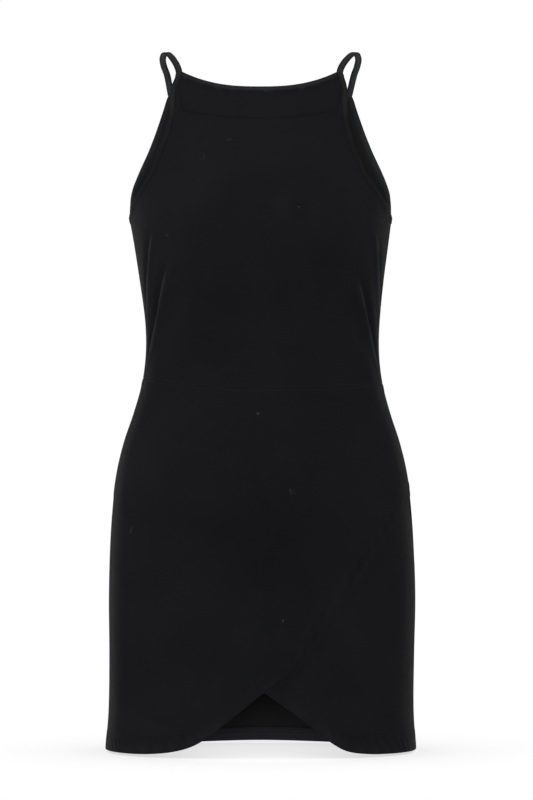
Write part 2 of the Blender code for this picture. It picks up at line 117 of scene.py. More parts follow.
@dataclass(frozen=True)
class DragFold:
    """A drag line of slack cloth: a narrow ridge with a hollow beside it, towards the side seam.

    The angles are taken on its own side; bow bends its line towards the side seam, in degrees.
    """

    side: Side
    top_angle: float
    top_z: float
    low_angle: float
    low_z: float
    width: float
    height: float
    hollow: float
    bow: float = 0.0


@dataclass(frozen=True)
class Dent:
    """A broad soft swelling of the cloth or of its lightness; with a height under nought, a hollow."""

    angle: float
    z: float
    across: float
    up: float
    height: float
    lean: float = 0.0


def table(kind: type[Row], *rows: tuple) -> tuple[Row, ...]:
    """A table whose rows are of one class, from the plain values of its columns."""
    return tuple(kind(*row) for row in rows)


class SmoothTable:
    """A smooth curve through the rows of a short table."""

    def __init__(self, rows: tuple, key: str, column: str) -> None:
        """Reads one column of the rows against another.

        Args:
            rows: The table's rows, in rising order of the key.
            key: The name of the column that the curve is read at.
            column: The name of the column that it gives.
        """
        self.keys = np.array([getattr(row, key) for row in rows])
        self.values = np.array([getattr(row, column) for row in rows])
        rises = np.diff(self.values) / np.diff(self.keys)
        self.slopes = np.empty_like(self.values)
        self.slopes[0], self.slopes[-1] = rises[0], rises[-1]
        self.slopes[1:-1] = (self.values[2:] - self.values[:-2]) / (self.keys[2:] - self.keys[:-2])

    def read(self, at: Array) -> Array:
        """The curve's values.

        Args:
            at: Values of the key column.

        Returns:
            The other column's value at each of them, held level past the ends.
        """
        at = np.clip(at, self.keys[0], self.keys[-1])
        i = np.clip(np.searchsorted(self.keys, at, side="right") - 1, 0, len(self.keys) - 2)
        span = self.keys[i + 1] - self.keys[i]
        t = (at - self.keys[i]) / span
        return (
            (2 * t**3 - 3 * t**2 + 1) * self.values[i]
            + (t**3 - 2 * t**2 + t) * span * self.slopes[i]
            + (3 * t**2 - 2 * t**3) * self.values[i + 1]
            + (t**3 - t**2) * span * self.slopes[i + 1]
        )


def smooth_step(low: float, high: float, value: Array) -> Array:
    """Goes from 0 at low to 1 at high with level ends."""
    share = np.clip((value - low) / (high - low), 0.0, 1.0)
    return share * share * (3.0 - 2.0 * share)


def blend(start: Array | float, end: Array | float, share: Array) -> Array:
    """A value a share of the way from one to another."""
    return start + (end - start) * share


def between(rise: Pair, fall: Pair, value: Array) -> Array:
    """Goes from 0 to 1 over one pair of values and back to 0 over the next."""
    return smooth_step(*rise, value) * (1.0 - smooth_step(*fall, value))


def half_turn(angle: Array) -> Array:
    """An angle brought into the range from -180 to 180 degrees."""
    return (angle + 180.0) % 360.0 - 180.0


def bell(value: Array, width: float) -> Array:
    """A bell curve of height 1 and the given half width."""
    return np.exp(-((value / width) ** 2))


def wave(at: Array, length: float, phase: float = 0.0) -> Array:
    """A sine wave of the given length, from -1 to 1."""
    return np.sin(2.0 * np.pi * at / length + phase)


def unit(vectors: Array) -> Array:
    """Each row of an array of vectors at length 1."""
    return vectors / np.maximum(np.linalg.norm(vectors, axis=-1, keepdims=True), 1e-12)


@dataclass(frozen=True)
class Form:
    """The general figure that the dress is filled out on, with the slack of its cloth."""

    squareness: float = 2.25
    crown_height: float = 0.0070
    crown_x: float = 0.0760
    crown_z: float = -0.2030
    crown_spread_x: float = 0.0400
    crown_spread_z: float = 0.0480
    fold_radius: float = 0.1150
    sections: tuple[Section, ...] = table(
        Section,
        # z, half_width, front, back, shift
        (-0.7746, 0.1734, 0.1150, 0.1155, 0.0004),
        (-0.7300, 0.1704, 0.1145, 0.1165, 0.0007),
        (-0.6675, 0.1703, 0.1140, 0.1190, 0.0014),
        (-0.6050, 0.1712, 0.1135, 0.1225, 0.0018),
        (-0.5420, 0.1693, 0.1120, 0.1220, 0.0016),
        (-0.4950, 0.1658, 0.1090, 0.1155, 0.0015),
        (-0.4640, 0.1617, 0.1055, 0.1080, 0.0014),
        (-0.4320, 0.1539, 0.1010, 0.0985, 0.0014),
        (-0.4010, 0.1436, 0.0965, 0.0885, 0.0016),
        (-0.3720, 0.1355, 0.0940, 0.0810, 0.0019),
        (-0.3450, 0.1312, 0.0940, 0.0775, 0.0021),
        (-0.3180, 0.1301, 0.0980, 0.0780, 0.0022),
        (-0.2910, 0.1316, 0.1045, 0.0815, 0.0021),
        (-0.2510, 0.1364, 0.1150, 0.0880, 0.0013),
        (-0.2105, 0.1422, 0.1210, 0.0940, 0.0008),
        (-0.1770, 0.1474, 0.1195, 0.0970, 0.0000),
        (-0.1570, 0.1506, 0.1150, 0.0980, 0.0000),
        (-0.1300, 0.1536, 0.1055, 0.0975, 0.0000),
        (-0.0800, 0.1590, 0.0820, 0.0915, -0.0004),
        (-0.0350, 0.1635, 0.0590, 0.0740, -0.0006),
        (0.0000, 0.1660, 0.0400, 0.0560, -0.0006),
    )
    folds: tuple[DragFold, ...] = table(
        DragFold,
        # side, top_angle, top_z, low_angle, low_z, width, height, hollow, bow
        (Side.RIGHT, 51.5, -0.1980, 76.0, -0.3120, 0.0034, 0.0030, 0.0022),
        (Side.RIGHT, 41.0, -0.2250, 79.0, -0.3640, 0.0042, 0.0030, 0.0034, -1.5),
        (Side.RIGHT, 34.0, -0.2600, 52.0, -0.3400, 0.0110, 0.0006, 0.0004),
        (Side.LEFT, 58.0, -0.2020, 78.0, -0.3080, 0.0036, 0.0029, 0.0022),
        (Side.LEFT, 44.0, -0.2440, 78.0, -0.3700, 0.0042, 0.0030, 0.0034),
        (Side.LEFT, 50.0, -0.1480, 76.0, -0.1920, 0.0032, 0.0010, 0.0008),
        (Side.LEFT, 36.0, -0.2640, 56.0, -0.3480, 0.0105, 0.0006, 0.0004),
        (Side.RIGHT, 128.0, -0.2280, 103.0, -0.3240, 0.0062, 0.0020, 0.0014),
        (Side.RIGHT, 141.0, -0.2500, 112.0, -0.3480, 0.0080, 0.0012, 0.0008, -3.0),
        (Side.LEFT, 124.0, -0.2380, 101.0, -0.3420, 0.0060, 0.0021, 0.0015),
        (Side.LEFT, 139.0, -0.2300, 111.0, -0.3260, 0.0085, 0.0011, 0.0008, -3.0),
    )
    dents: tuple[Dent, ...] = table(
        Dent,
        # angle, z, across, up, height, lean
        (-52.0, -0.1620, 0.026, 0.030, 0.0007, 0.4),
        (6.0, -0.1720, 0.020, 0.034, 0.0005),
        (-24.0, -0.3230, 0.045, 0.010, -0.0005, -0.20),
        (30.0, -0.3350, 0.050, 0.011, -0.0005, 0.18),
        (-30.0, -0.3990, 0.040, 0.012, 0.0005, 0.15),
        (35.0, -0.4050, 0.038, 0.013, 0.0004, -0.12),
        (-8.0, -0.4700, 0.080, 0.022, -0.0006),
        (-60.0, -0.5400, 0.024, 0.070, 0.0007, -0.1),
        (64.0, -0.4500, 0.020, 0.050, 0.0006, 0.1),
        (-35.0, -0.6600, 0.030, 0.060, -0.0006, 0.5),
        (160.0, -0.3000, 0.050, 0.014, -0.0009, 0.1),
        (-156.0, -0.3260, 0.055, 0.012, -0.0008, -0.12),
        (178.0, -0.2760, 0.070, 0.012, 0.0006),
        (150.0, -0.4700, 0.050, 0.050, 0.0007),
        (-148.0, -0.5900, 0.050, 0.060, -0.0007, 0.2),
        (130.0, -0.6600, 0.036, 0.070, 0.0008, -0.2),
    )
    fold_fade: float = 0.8
    hollow_place: float = 2.1
    hollow_breadth: float = 1.5
    near_side: tuple[Pair, Pair] = ((56.0, 70.0), (82.0, 94.0))
    # Painted highlights along the fold crests, strongest near the side seams, and painted shade in the fold
    # hollows.
    crest_highlight: float = 200.0
    side_highlight: float = 900.0
    hollow_shade: float = 95.0
    darkest: float = 0.3
    # Broad areas of painted light and shade: lighter over the bust and hips, darker in the middle of the
    # skirt, a few on the back.
    painted_patches: tuple[Dent, ...] = table(
        Dent,
        # angle, z, across, up, height, lean
        (-50.0, -0.1700, 0.040, 0.052, 0.25),
        (46.0, -0.1660, 0.042, 0.050, 0.25),
        (-52.0, -0.4400, 0.036, 0.040, 0.16),
        (52.0, -0.4500, 0.040, 0.060, 0.16),
        (-50.0, -0.5900, 0.050, 0.060, 0.06),
        (50.0, -0.5900, 0.050, 0.060, 0.05),
        (2.0, -0.1900, 0.034, 0.040, 0.05),
        (5.0, -0.3000, 0.050, 0.060, 0.06),
        (0.0, -0.5500, 0.070, 0.080, -0.08),
        (9.0, -0.1740, 0.009, 0.020, 0.20),
        (-61.0, -0.1730, 0.014, 0.022, 0.22),
        (34.0, -0.2300, 0.026, 0.030, -0.08),
        (-28.0, -0.3560, 0.016, 0.009, 0.12),
        (-14.0, -0.3460, 0.007, 0.006, 0.10),
        (4.0, -0.5600, 0.040, 0.080, -0.10),
        (-55.0, -0.4700, 0.020, 0.040, 0.08),
        (-48.0, -0.7400, 0.070, 0.034, 0.07),
        (48.0, -0.7400, 0.070, 0.040, 0.11),
        (-41.0, -0.7440, 0.009, 0.005, 0.10, -0.5),
        (-36.0, -0.7380, 0.010, 0.004, -0.14, -0.3),
        (150.0, -0.2000, 0.030, 0.040, 0.10),
        (-160.0, -0.4400, 0.040, 0.050, 0.08),
    )

    def column(self, name: str, z: Array) -> Array:
        """A column of the sections' table at some heights."""
        return SmoothTable(self.sections, "z", name).read(z)

    def bare(self, angle: Array, z: Array) -> Array:
        """The points of the form without the slack of the cloth.

        Args:
            angle: Angles round the figure, in degrees.
            z: Heights.

        Returns:
            One point a row.
        """
        sine, cosine = np.sin(np.radians(angle)), np.cos(np.radians(angle))
        depth = np.where(cosine > 0.0, self.column("front", z), self.column("back", z))
        power = self.squareness
        swell = (np.abs(sine) ** power + np.abs(cosine) ** power) ** (-1.0 / power)
        x = self.column("half_width", z) * sine * swell
        y = -depth * cosine * swell
        crown = bell(np.abs(x) - self.crown_x, self.crown_spread_x)
        crown = crown * bell(z - self.crown_z, self.crown_spread_z)
        y = y - self.crown_height * crown * smooth_step(0.0, 0.5, cosine)
        return np.stack([x + self.column("shift", z), y, z], axis=-1)

    def aside(self, angle: Array, z: Array) -> Array:
        """How far a place on the form is from the dress's middle, towards +X."""
        return self.bare(angle, z)[..., 0] - self.column("shift", z)

    def normal(self, angle: Array, z: Array) -> Array:
        """The outward directions of the form.

        Args:
            angle: Angles round the figure, in degrees.
            z: Heights.

        Returns:
            One direction a row.
        """
        step, rise = 0.5, 0.001
        around = self.bare(angle + step, z) - self.bare(angle - step, z)
        up = self.bare(angle, z + rise) - self.bare(angle, z - rise)
        return unit(np.cross(around, up))

    def arc_rate(self, angle: Array, z: Array) -> Array:
        """How many metres a degree is round the form."""
        return np.linalg.norm(self.bare(angle + 0.5, z) - self.bare(angle - 0.5, z), axis=-1)

    def fold_run(self, fold: DragFold, angle: Array, z: Array) -> tuple[Array, Array]:
        """How strongly a fold is felt at some places.

        Args:
            fold: The fold.
            angle: Angles round the figure, in degrees.
            z: Heights.

        Returns:
            The strength of its ridge and of its hollow, each from 0 to 1.
        """
        share = np.clip((fold.top_z - z) / (fold.top_z - fold.low_z), 0.0, 1.0)
        line = blend(fold.top_angle, fold.low_angle, share) + fold.bow * np.sin(np.pi * share)
        apart = (angle * fold.side.value - line) * math.radians(self.fold_radius)
        outward = apart if fold.low_angle < 90.0 else -apart
        strength = np.sin(np.pi * share) ** self.fold_fade * (angle * fold.side.value > 0.0)
        hollow = bell(outward - self.hollow_place * fold.width, self.hollow_breadth * fold.width)
        return strength * bell(apart, fold.width), strength * hollow

    def swelling(self, dent: Dent, angle: Array, z: Array) -> Array:
        """How strongly a broad soft swelling is felt at some places."""
        across = half_turn(angle - dent.angle) * math.radians(self.fold_radius)
        return dent.height * bell(across, dent.across) * bell(z - dent.z - dent.lean * across, dent.up)

    def slack(self, angle: Array, z: Array) -> Array:
        """How far the folds and soft dents of the cloth stand off the form.

        Args:
            angle: Angles round the figure, in degrees.
            z: Heights.

        Returns:
            The distance outwards at each place.
        """
        angle = half_turn(angle)
        total = np.zeros_like(z)
        for fold in self.folds:
            ridge, hollow = self.fold_run(fold, angle, z)
            total += fold.height * ridge - fold.hollow * hollow
        for dent in self.dents:
            total += self.swelling(dent, angle, z)
        return total

    def nap(self, angle: Array, z: Array) -> Array:
        """How light the cloth is drawn: painted highlights on the crests of its folds, strongest near the
        side seams, painted shade in their hollows, and broad areas of painted light and shade.

        Args:
            angle: Angles round the figure, in degrees.
            z: Heights.

        Returns:
            The share of its colour at each place.
        """
        angle = half_turn(angle)
        tone = np.ones_like(z)
        near_side = between(*self.near_side, np.abs(angle))
        for fold in self.folds:
            ridge, hollow = self.fold_run(fold, angle, z)
            # Painted highlight on each fold's crest and painted shade in its hollow.
            painted_crest_light = (self.crest_highlight + self.side_highlight * near_side) * ridge ** (2.0 - near_side)
            tone += fold.height * painted_crest_light - self.hollow_shade * (1.0 - 0.9 * near_side) * fold.hollow * hollow
        # Broad areas of painted light and shade.
        for patch in self.painted_patches:
            tone += self.swelling(patch, angle, z)
        return np.maximum(tone, self.darkest)

    def lay(self, angle: Array, z: Array, inset: Array | float = 0.0) -> Array:
        """The points of a sheet laid on the form.

        Args:
            angle: Angles round the figure, in degrees.
            z: Heights.
            inset: How far the sheet lies inside the outside of the dress.

        Returns:
            One point a row.
        """
        out = self.slack(angle, z) - inset
        return self.bare(angle, z) + out[..., None] * self.normal(angle, z)


# ---------------------------------------- finishes


class NodeTree:
    """Writes the nodes of one material."""

    def __init__(self, name: str) -> None:
        """Starts a material with a Principled shader.

        Args:
            name: The material's name.
        """
        self.material = bpy.data.materials.new(name)
        self.material.use_nodes = True
        self.nodes = self.material.node_tree.nodes
        self.shader = self.nodes["Principled BSDF"]

    def add(self, kind: str, feeds: dict | None = None, **settings: object) -> bpy.types.Node:
        """Adds a node.

        Args:
            kind: Its type.
            feeds: What goes into its inputs: a value, or the socket of another node.
            **settings: Its own properties.

        Returns:
            The node.
        """
        node = self.nodes.new(kind)
        for key, value in settings.items():
            setattr(node, key, value)
        for key, value in (feeds or {}).items():
            self.feed(value, node.inputs[key])
        return node

    def feed(self, value: object, target: bpy.types.NodeSocket) -> None:
        """Feeds an input.

        Args:
            value: A value, or the socket of another node.
            target: The input.
        """
        if isinstance(value, bpy.types.NodeSocket):
            self.material.node_tree.links.new(value, target)
        else:
            target.default_value = value

    def sum(self, operation: str, *terms: object) -> bpy.types.NodeSocket:
        """The result of a Math node."""
        return self.add("ShaderNodeMath", dict(enumerate(terms)), operation=operation).outputs[0]

    def spread(self, value: object, low: float, high: float, start: float = 0.0, end: float = 1.0) -> object:
        """Maps a value from one range to another."""
        feeds = {"Value": value, "From Min": start, "From Max": end, "To Min": low, "To Max": high}
        return self.add("ShaderNodeMapRange", feeds).outputs["Result"]

    def noise(self, at: object, scale: float, detail: float = 2.0, roughness: float = 0.5) -> object:
        """The height of a cloudy noise."""
        feeds = {"Vector": at, "Scale": scale, "Detail": detail, "Roughness": roughness}
        return self.add("ShaderNodeTexNoise", feeds).outputs[0]

    def rounds(self, value: object, length: float = 1.0) -> object:
        """A cosine wave of the given length, from -1 to 1."""
        return self.sum("COSINE", self.sum("MULTIPLY", value, 2.0 * math.pi / length))

    def mottle(self, cloud: object, share: float, low: float = 0.25, high: float = 0.75) -> object:
        """A noise brought round 1, so far down and up at its low and its high."""
        return self.spread(cloud, 1.0 - share, 1.0 + share, low, high)

    def place(self) -> object:
        """The place on the piece."""
        return self.add("ShaderNodeTexCoord").outputs["Object"]

    def flat_place(self) -> tuple[object, object]:
        """The place on the cloth laid flat: across it, and along it."""
        flat = self.add("ShaderNodeSeparateXYZ", {0: self.add("ShaderNodeUVMap", uv_map=PATTERN).outputs[0]})
        return flat.outputs["X"], flat.outputs["Y"]

    def tone(self, name: str = TONE) -> object:
        """The lightness painted at each point of the piece, as a share of its colour; on the cloth and the
        strips it is mostly painted light and shade.
        """
        return self.add("ShaderNodeAttribute", attribute_name=name).outputs["Fac"]

    def finish(self, colour: Triple, shades: tuple, feeds: dict, relief: tuple = ()) -> bpy.types.Material:
        """Feeds the shader and gives back the material.

        Args:
            colour: The finish's colour.
            shades: What makes it lighter and darker, multiplied together.
            feeds: What goes into the shader's other inputs.
            relief: The height of its relief, the relief's size and how strongly it is felt.

        Returns:
            The material.
        """
        shade = shades[0]
        for other in shades[1:]:
            shade = self.sum("MULTIPLY", shade, other)
        shaded = self.add("ShaderNodeVectorMath", {0: colour, "Scale": shade}, operation="SCALE")
        for key, value in {"Base Color": shaded.outputs[0], **feeds}.items():
            self.feed(value, self.shader.inputs[key])
        if relief:
            bump = self.add("ShaderNodeBump", dict(zip(("Height", "Distance", "Strength"), relief)))
            self.feed(bump.outputs[0], self.shader.inputs["Normal"])
        self.material.diffuse_color = (*colour, 1.0)
        return self.material


class Face(Enum):
    """The two faces of a single jersey."""

    RIGHT = "right side"
    WRONG = "wrong side"


@dataclass(frozen=True)
class JerseyFinish:
    """A fine single jersey, a little uneven in tone, with a soft matt nap.

    Its right side shows columns of small loops, and its wrong side rows of low arcs.
    """

    name: str
    face: Face = Face.RIGHT
    colour: Triple = (0.0099, 0.0101, 0.0114)
    wale: float = 0.90 * MM
    course: float = 0.78 * MM
    loop_height: float = 0.16 * MM
    nap_height: float = 0.10 * MM
    roughness: float = 0.88
    sheen: float = 0.10
    sheen_spread: float = 0.16
    gloss: float = 0.05
    unevenness: float = 0.16

    def material(self) -> bpy.types.Material:
        """Writes the finish's nodes.

        Returns:
            The cloth's material.
        """
        tree = NodeTree(self.name)
        across, along = tree.flat_place()
        column = tree.sum("FRACT", tree.sum("DIVIDE", across, self.wale))
        leg = tree.sum("ABSOLUTE", tree.sum("SUBTRACT", column, 0.5))
        crest = tree.sum("SINE", tree.sum("MULTIPLY", leg, 2.0 * math.pi))
        course = tree.sum("DIVIDE", along, self.course)
        if self.face is Face.WRONG:
            arc = tree.sum("ADD", course, tree.sum("MULTIPLY", crest, 0.2))
            loops = tree.sum("MULTIPLY_ADD", tree.rounds(arc), 0.5, 0.5)
        else:
            row = tree.rounds(tree.sum("ADD", course, leg))
            loops = tree.sum("MULTIPLY", crest, tree.sum("MULTIPLY_ADD", row, 0.3, 0.7))
        cloud = tree.noise(tree.place(), 14.0, 4.0, 0.6)
        nap = tree.noise(tree.place(), 900.0, 2.0, 0.7)
        # The drawn lightness of each point: mostly painted light and shade.
        painted_light_tone = tree.tone(LINING_TONE if self.face is Face.WRONG else TONE)
        # The colour is painted darker between the loops, as shade in their hollows, and mottled at random.
        knit = tree.sum("MULTIPLY", tree.spread(loops, 0.82, 1.10), tree.mottle(nap, 0.12))
        height = tree.sum("MULTIPLY_ADD", nap, self.nap_height, tree.sum("MULTIPLY", loops, self.loop_height))
        feeds = {
            "Roughness": tree.spread(cloud, self.roughness - 0.04, self.roughness + 0.04),
            "Sheen Weight": self.sheen,
            "Sheen Roughness": self.sheen_spread,
            "Specular IOR Level": self.gloss,
        }
        shades = (knit, tree.mottle(cloud, self.unevenness), painted_light_tone)
        return tree.finish(self.colour, shades, feeds, (height, 1.0, 0.6))


@dataclass(frozen=True)
class BindingFinish:
    """A narrow strip of the same jersey pulled tight, so that it is ribbed across; its colour is made a
    little lighter as painted light, for the light that its smooth, curved face catches.
    """

    name: str
    colour: Triple = (0.0165, 0.0170, 0.0180)
    rib: float = 2.3 * MM
    rib_depth: float = 0.10 * MM
    wale: float = 0.80 * MM
    nap_height: float = 0.08 * MM
    roughness: float = 0.82
    sheen: float = 0.05
    sheen_spread: float = 0.45
    gloss: float = 0.08

    def material(self) -> bpy.types.Material:
        """Writes the finish's nodes.

        Returns:
            The strip's material.
        """
        tree = NodeTree(self.name)
        along, round_it = tree.flat_place()
        rib, loop = tree.rounds(along, self.rib), tree.rounds(round_it, self.wale)
        nap = tree.noise(tree.place(), 1100.0, 2.0, 0.7)
        cloud = tree.noise(tree.place(), 60.0, 3.0, 0.6)
        # The ribs are painted lighter on their crests and darker between them: painted highlight and shade.
        ribbed, uneven = tree.spread(rib, 0.66, 1.26, -1.0, 1.0), tree.mottle(cloud, 0.14, 0.3, 0.7)
        ribs = tree.sum("MULTIPLY", tree.sum("MULTIPLY_ADD", loop, 0.3, rib), 0.5 * self.rib_depth)
        height = tree.sum("MULTIPLY_ADD", nap, self.nap_height, ribs)
        feeds = {
            "Roughness": tree.spread(cloud, self.roughness - 0.05, self.roughness + 0.05),
            "Sheen Weight": self.sheen,
            "Sheen Roughness": self.sheen_spread,
            "Specular IOR Level": self.gloss,
        }
        shades = (ribbed, uneven, tree.mottle(nap, 0.12), tree.tone())
        return tree.finish(self.colour, shades, feeds, (height, 1.0, 0.7))


@dataclass(frozen=True)
class ThreadFinish:
    """Twisted sewing thread."""

    name: str
    colour: Triple = (0.0102, 0.0105, 0.0115)
    twist: float = 0.55 * MM
    ply_depth: float = 0.03 * MM
    roughness: float = 0.62
    sheen: float = 0.02
    gloss: float = 0.10

    def material(self) -> bpy.types.Material:
        """Writes the finish's nodes.

        Returns:
            The thread's material.
        """
        tree = NodeTree(self.name)
        along, round_it = tree.flat_place()
        ply = tree.rounds(tree.sum("ADD", tree.sum("DIVIDE", along, self.twist), round_it))
        cloud = tree.mottle(tree.noise(tree.place(), 500.0), 0.15, 0.0, 1.0)
        feeds = {
            "Roughness": tree.spread(ply, self.roughness - 0.06, self.roughness + 0.06, -1.0, 1.0),
            "Sheen Weight": self.sheen,
            "Specular IOR Level": self.gloss,
        }
        # The thread's colour is painted darker in the grooves of its ply: painted shade.
        shades = (tree.spread(ply, 0.75, 1.2, -1.0, 1.0), cloud)
        return tree.finish(self.colour, shades, feeds, (ply, self.ply_depth, 0.6))


@dataclass(frozen=True)
class FibreFinish:
    """Pale fluff that has settled on the cloth, some of it thinner than the rest."""

    name: str
    colour: Triple = (0.130, 0.130, 0.134)
    roughness: float = 0.9

    def material(self) -> bpy.types.Material:
        """Writes the finish's nodes.

        Returns:
            The fluff's material.
        """
        tree = NodeTree(self.name)
        cloud = tree.mottle(tree.noise(tree.place(), 700.0), 0.3, 0.0, 1.0)
        return tree.finish(self.colour, (cloud, tree.tone()), {"Roughness": self.roughness})


@dataclass(frozen=True)
class FloorFinish:
    """A plain pale studio floor, lit from below as a light table is, with a painted soft shadow that dims its
    glow close to the dress.
    """

    name: str = "pale_floor"
    tone: float = 0.06
    near_glow: float = 0.928
    far_glow: float = 0.998
    near_y: float = -3.2
    far_y: float = 5.2
    glow_on_cloth: float = 0.66
    shade_reach: float = 0.19
    shade_power: float = 1.6
    shade_depth: float = 0.60

    def material(self) -> bpy.types.Material:
        """Writes the finish's nodes.

        Returns:
            The floor's material.
        """
        tree = NodeTree(self.name)
        depth = tree.add("ShaderNodeSeparateXYZ", {0: tree.place()}).outputs["Y"]
        glow = tree.spread(depth, self.near_glow, self.far_glow, self.near_y, self.far_y)
        glow.node.interpolation_type = "SMOOTHSTEP"
        seen = tree.add("ShaderNodeLightPath").outputs["Is Camera Ray"]
        # Painted shadow: the floor's glow is dimmed where the dress closes in round it.
        open_air = tree.add("ShaderNodeAmbientOcclusion", {"Distance": self.shade_reach}, samples=16)
        shade = tree.sum("POWER", tree.spread(open_air.outputs["AO"], 1.0, 0.0), self.shade_power)
        left = tree.spread(shade, 1.0, 1.0 - self.shade_depth)
        feeds = {
            "Roughness": 0.95,
            "Specular IOR Level": 0.0,
            "Emission Color": (1.0, 1.0, 1.0, 1.0),
            "Emission Strength": tree.sum("MULTIPLY", tree.spread(seen, self.glow_on_cloth, glow), left),
        }
        level = tree.spread(tree.noise(tree.place(), 3.0, 3.0), self.tone - 0.01, self.tone + 0.01)
        return tree.finish((1.0, 1.0, 1.0), (level,), feeds)


# ---------------------------------------- sheets


@dataclass(frozen=True)
class Cloth:
    """The jersey's own measures, and how its edges are turned and sewn."""

    wall: float = 0.0007
    seam_roll: float = 0.0007
    seam_stem: float = 0.0006
    seam_gap: float = 0.0002
    allowance: float = 0.0034
    fold_steps: int = 6
    hem_roll: float = 0.00078
    spacing: float = 0.0024

    @property
    def hem_depth(self) -> float:
        """How far inside the outer face the free face of a turned-up hem lies."""
        return 2.0 * self.hem_roll

    def rolled_edge(self, stem: float) -> tuple[Array, Array]:
        """How a panel's cloth rolls in at a seam and stands on inside it.

        Args:
            stem: How far it stands on.

        Returns:
            How far each step of it lies before the seam, and how far inside the panel's face.
        """
        turn = np.linspace(0.0, 0.5 * np.pi, 5)[1:]
        sinks = np.append(self.seam_roll * (1.0 - np.cos(turn)), self.seam_roll + stem * np.array([0.5, 1.0]))
        return np.append(self.seam_roll * (1.0 - np.sin(turn)), [0.0, 0.0]), sinks

    def side_edge(self, half: Half) -> tuple[Array, Array]:
        """How a panel's cloth runs on at its side seam, where the front's is pressed under the back's.

        Args:
            half: The front or the back.

        Returns:
            As for rolled_edge.
        """
        pulls, sinks = self.rolled_edge(self.seam_stem)
        if half is Half.FRONT:
            pulls = np.append(pulls, self.allowance * np.array([-0.3, -1.0]))
            sinks = np.append(sinks, sinks[-1] + self.seam_stem * np.array([0.5, 0.7]))
        return pulls, sinks


def weave(columns: Array, rows: Array) -> tuple[Array, Array]:
    """Spreads a row of column values and a row of row values over a grid."""
    return np.meshgrid(columns, rows, indexing="ij")


def run_lengths(points: Array, axis: int) -> Array:
    """The length along an array of points from its first point, along one of its axes."""
    steps = np.linalg.norm(np.diff(points, axis=axis), axis=-1)
    start = np.zeros_like(np.take(steps, [0], axis=axis))
    return np.concatenate([start, np.cumsum(steps, axis=axis)], axis=axis)


def read_along(at: Array, lengths: Array, vectors: Array) -> Array:
    """A run of vectors read at some lengths along it."""
    return np.stack([np.interp(at, lengths, vectors[:, k]) for k in range(3)], axis=-1)


def rings(line: Array, up: Array) -> Array:
    """The directions of a ring round each point of a line, which begins at its side."""
    aside = unit(np.cross(unit(np.gradient(line, axis=0)), up))
    return aside[:, None] * np.cos(RING)[None, :, None] + up[:, None] * np.sin(RING)[None, :, None]


def strip_pattern(lengths: Array, across: Array, through: Array) -> Array:
    """The flat coordinates of a strip in metres: along it, and round the outline of its section."""
    girth = np.concatenate([[0.0], np.cumsum(np.hypot(np.diff(across), np.diff(through)))])
    return np.stack(np.broadcast_arrays(lengths[:, None], girth[None]), axis=-1)


def cloth_pattern(points: Array) -> Array:
    """The flat coordinates of a sheet in metres: across it from its middle column, and along its columns."""
    across = run_lengths(points, 0)
    across = across - across[points.shape[0] // 2]
    return np.stack([across, run_lengths(points, 1)], axis=-1)


def add_piece(name: str, points: Array, material: bpy.types.Material, pattern: Array | None = None,
              weld: bool = False, cap: bool = False, wall: float = 0.0, tone: Array | None = None,
              lining: bpy.types.Material | None = None, lining_tone: Array | None = None) -> bpy.types.Object:
    """Makes a piece from a grid that is laid on an array of points.

    Args:
        name: The piece's name.
        points: Its points, over columns and rows.
        material: Its finish.
        pattern: The flat coordinates of each point, in metres; worked out from the points if left out.
        weld: Whether the grid closes on itself along its edges.
        cap: Whether the open ends of a welded tube are closed.
        wall: The thickness that is given to it, away from its face.
        tone: The lightness of each point, as a share of its finish's colour.
        lining: The finish of the wall's inner side, where that differs.
        lining_tone: The lightness of each point on that side.

    Returns:
        The object.
    """
    columns, rows = points.shape[0] - 1, points.shape[1] - 1
    mesh = bpy.data.meshes.new(name)
    grid = bmesh.new()
    grid.loops.layers.uv.new(PATTERN)
    bmesh.ops.create_grid(grid, x_segments=columns, y_segments=rows, size=0.5)
    grid.to_mesh(mesh)
    grid.free()
    flat = np.empty(3 * len(mesh.vertices))
    mesh.vertices.foreach_get("co", flat)
    flat = flat.reshape(-1, 3)
    i = np.rint((flat[:, 0] + 0.5) * columns).astype(int)
    j = np.rint((flat[:, 1] + 0.5) * rows).astype(int)
    mesh.vertices.foreach_set("co", points[i, j].ravel())
    corners = np.empty(len(mesh.loops), dtype=int)
    mesh.loops.foreach_get("vertex_index", corners)
    pattern = cloth_pattern(points) if pattern is None else pattern
    mesh.uv_layers[PATTERN].data.foreach_set("uv", pattern[i, j][corners].ravel())
    for key, values in ((TONE, tone), (LINING_TONE, lining_tone)):
        if values is not None:
            mesh.attributes.new(key, "FLOAT", "POINT").data.foreach_set("value", values[i, j].ravel())
    if weld:
        grid = bmesh.new()
        grid.from_mesh(mesh)
        bmesh.ops.remove_doubles(grid, verts=grid.verts, dist=0.000005)
        if cap:
            bmesh.ops.holes_fill(grid, edges=[edge for edge in grid.edges if edge.is_boundary], sides=0)
        bmesh.ops.recalc_face_normals(grid, faces=grid.faces)
        grid.to_mesh(mesh)
        grid.free()
    mesh.update()
    mesh.shade_smooth()
    mesh.materials.append(material)
    piece = bpy.data.objects.new(name, mesh)
    bpy.context.scene.collection.objects.link(piece)
    if wall:
        thickness = piece.modifiers.new("Wall", "SOLIDIFY")
        thickness.thickness = wall
        thickness.offset = -1.0
        if lining is not None:
            mesh.materials.append(lining)
            thickness.material_offset = 1
    return piece


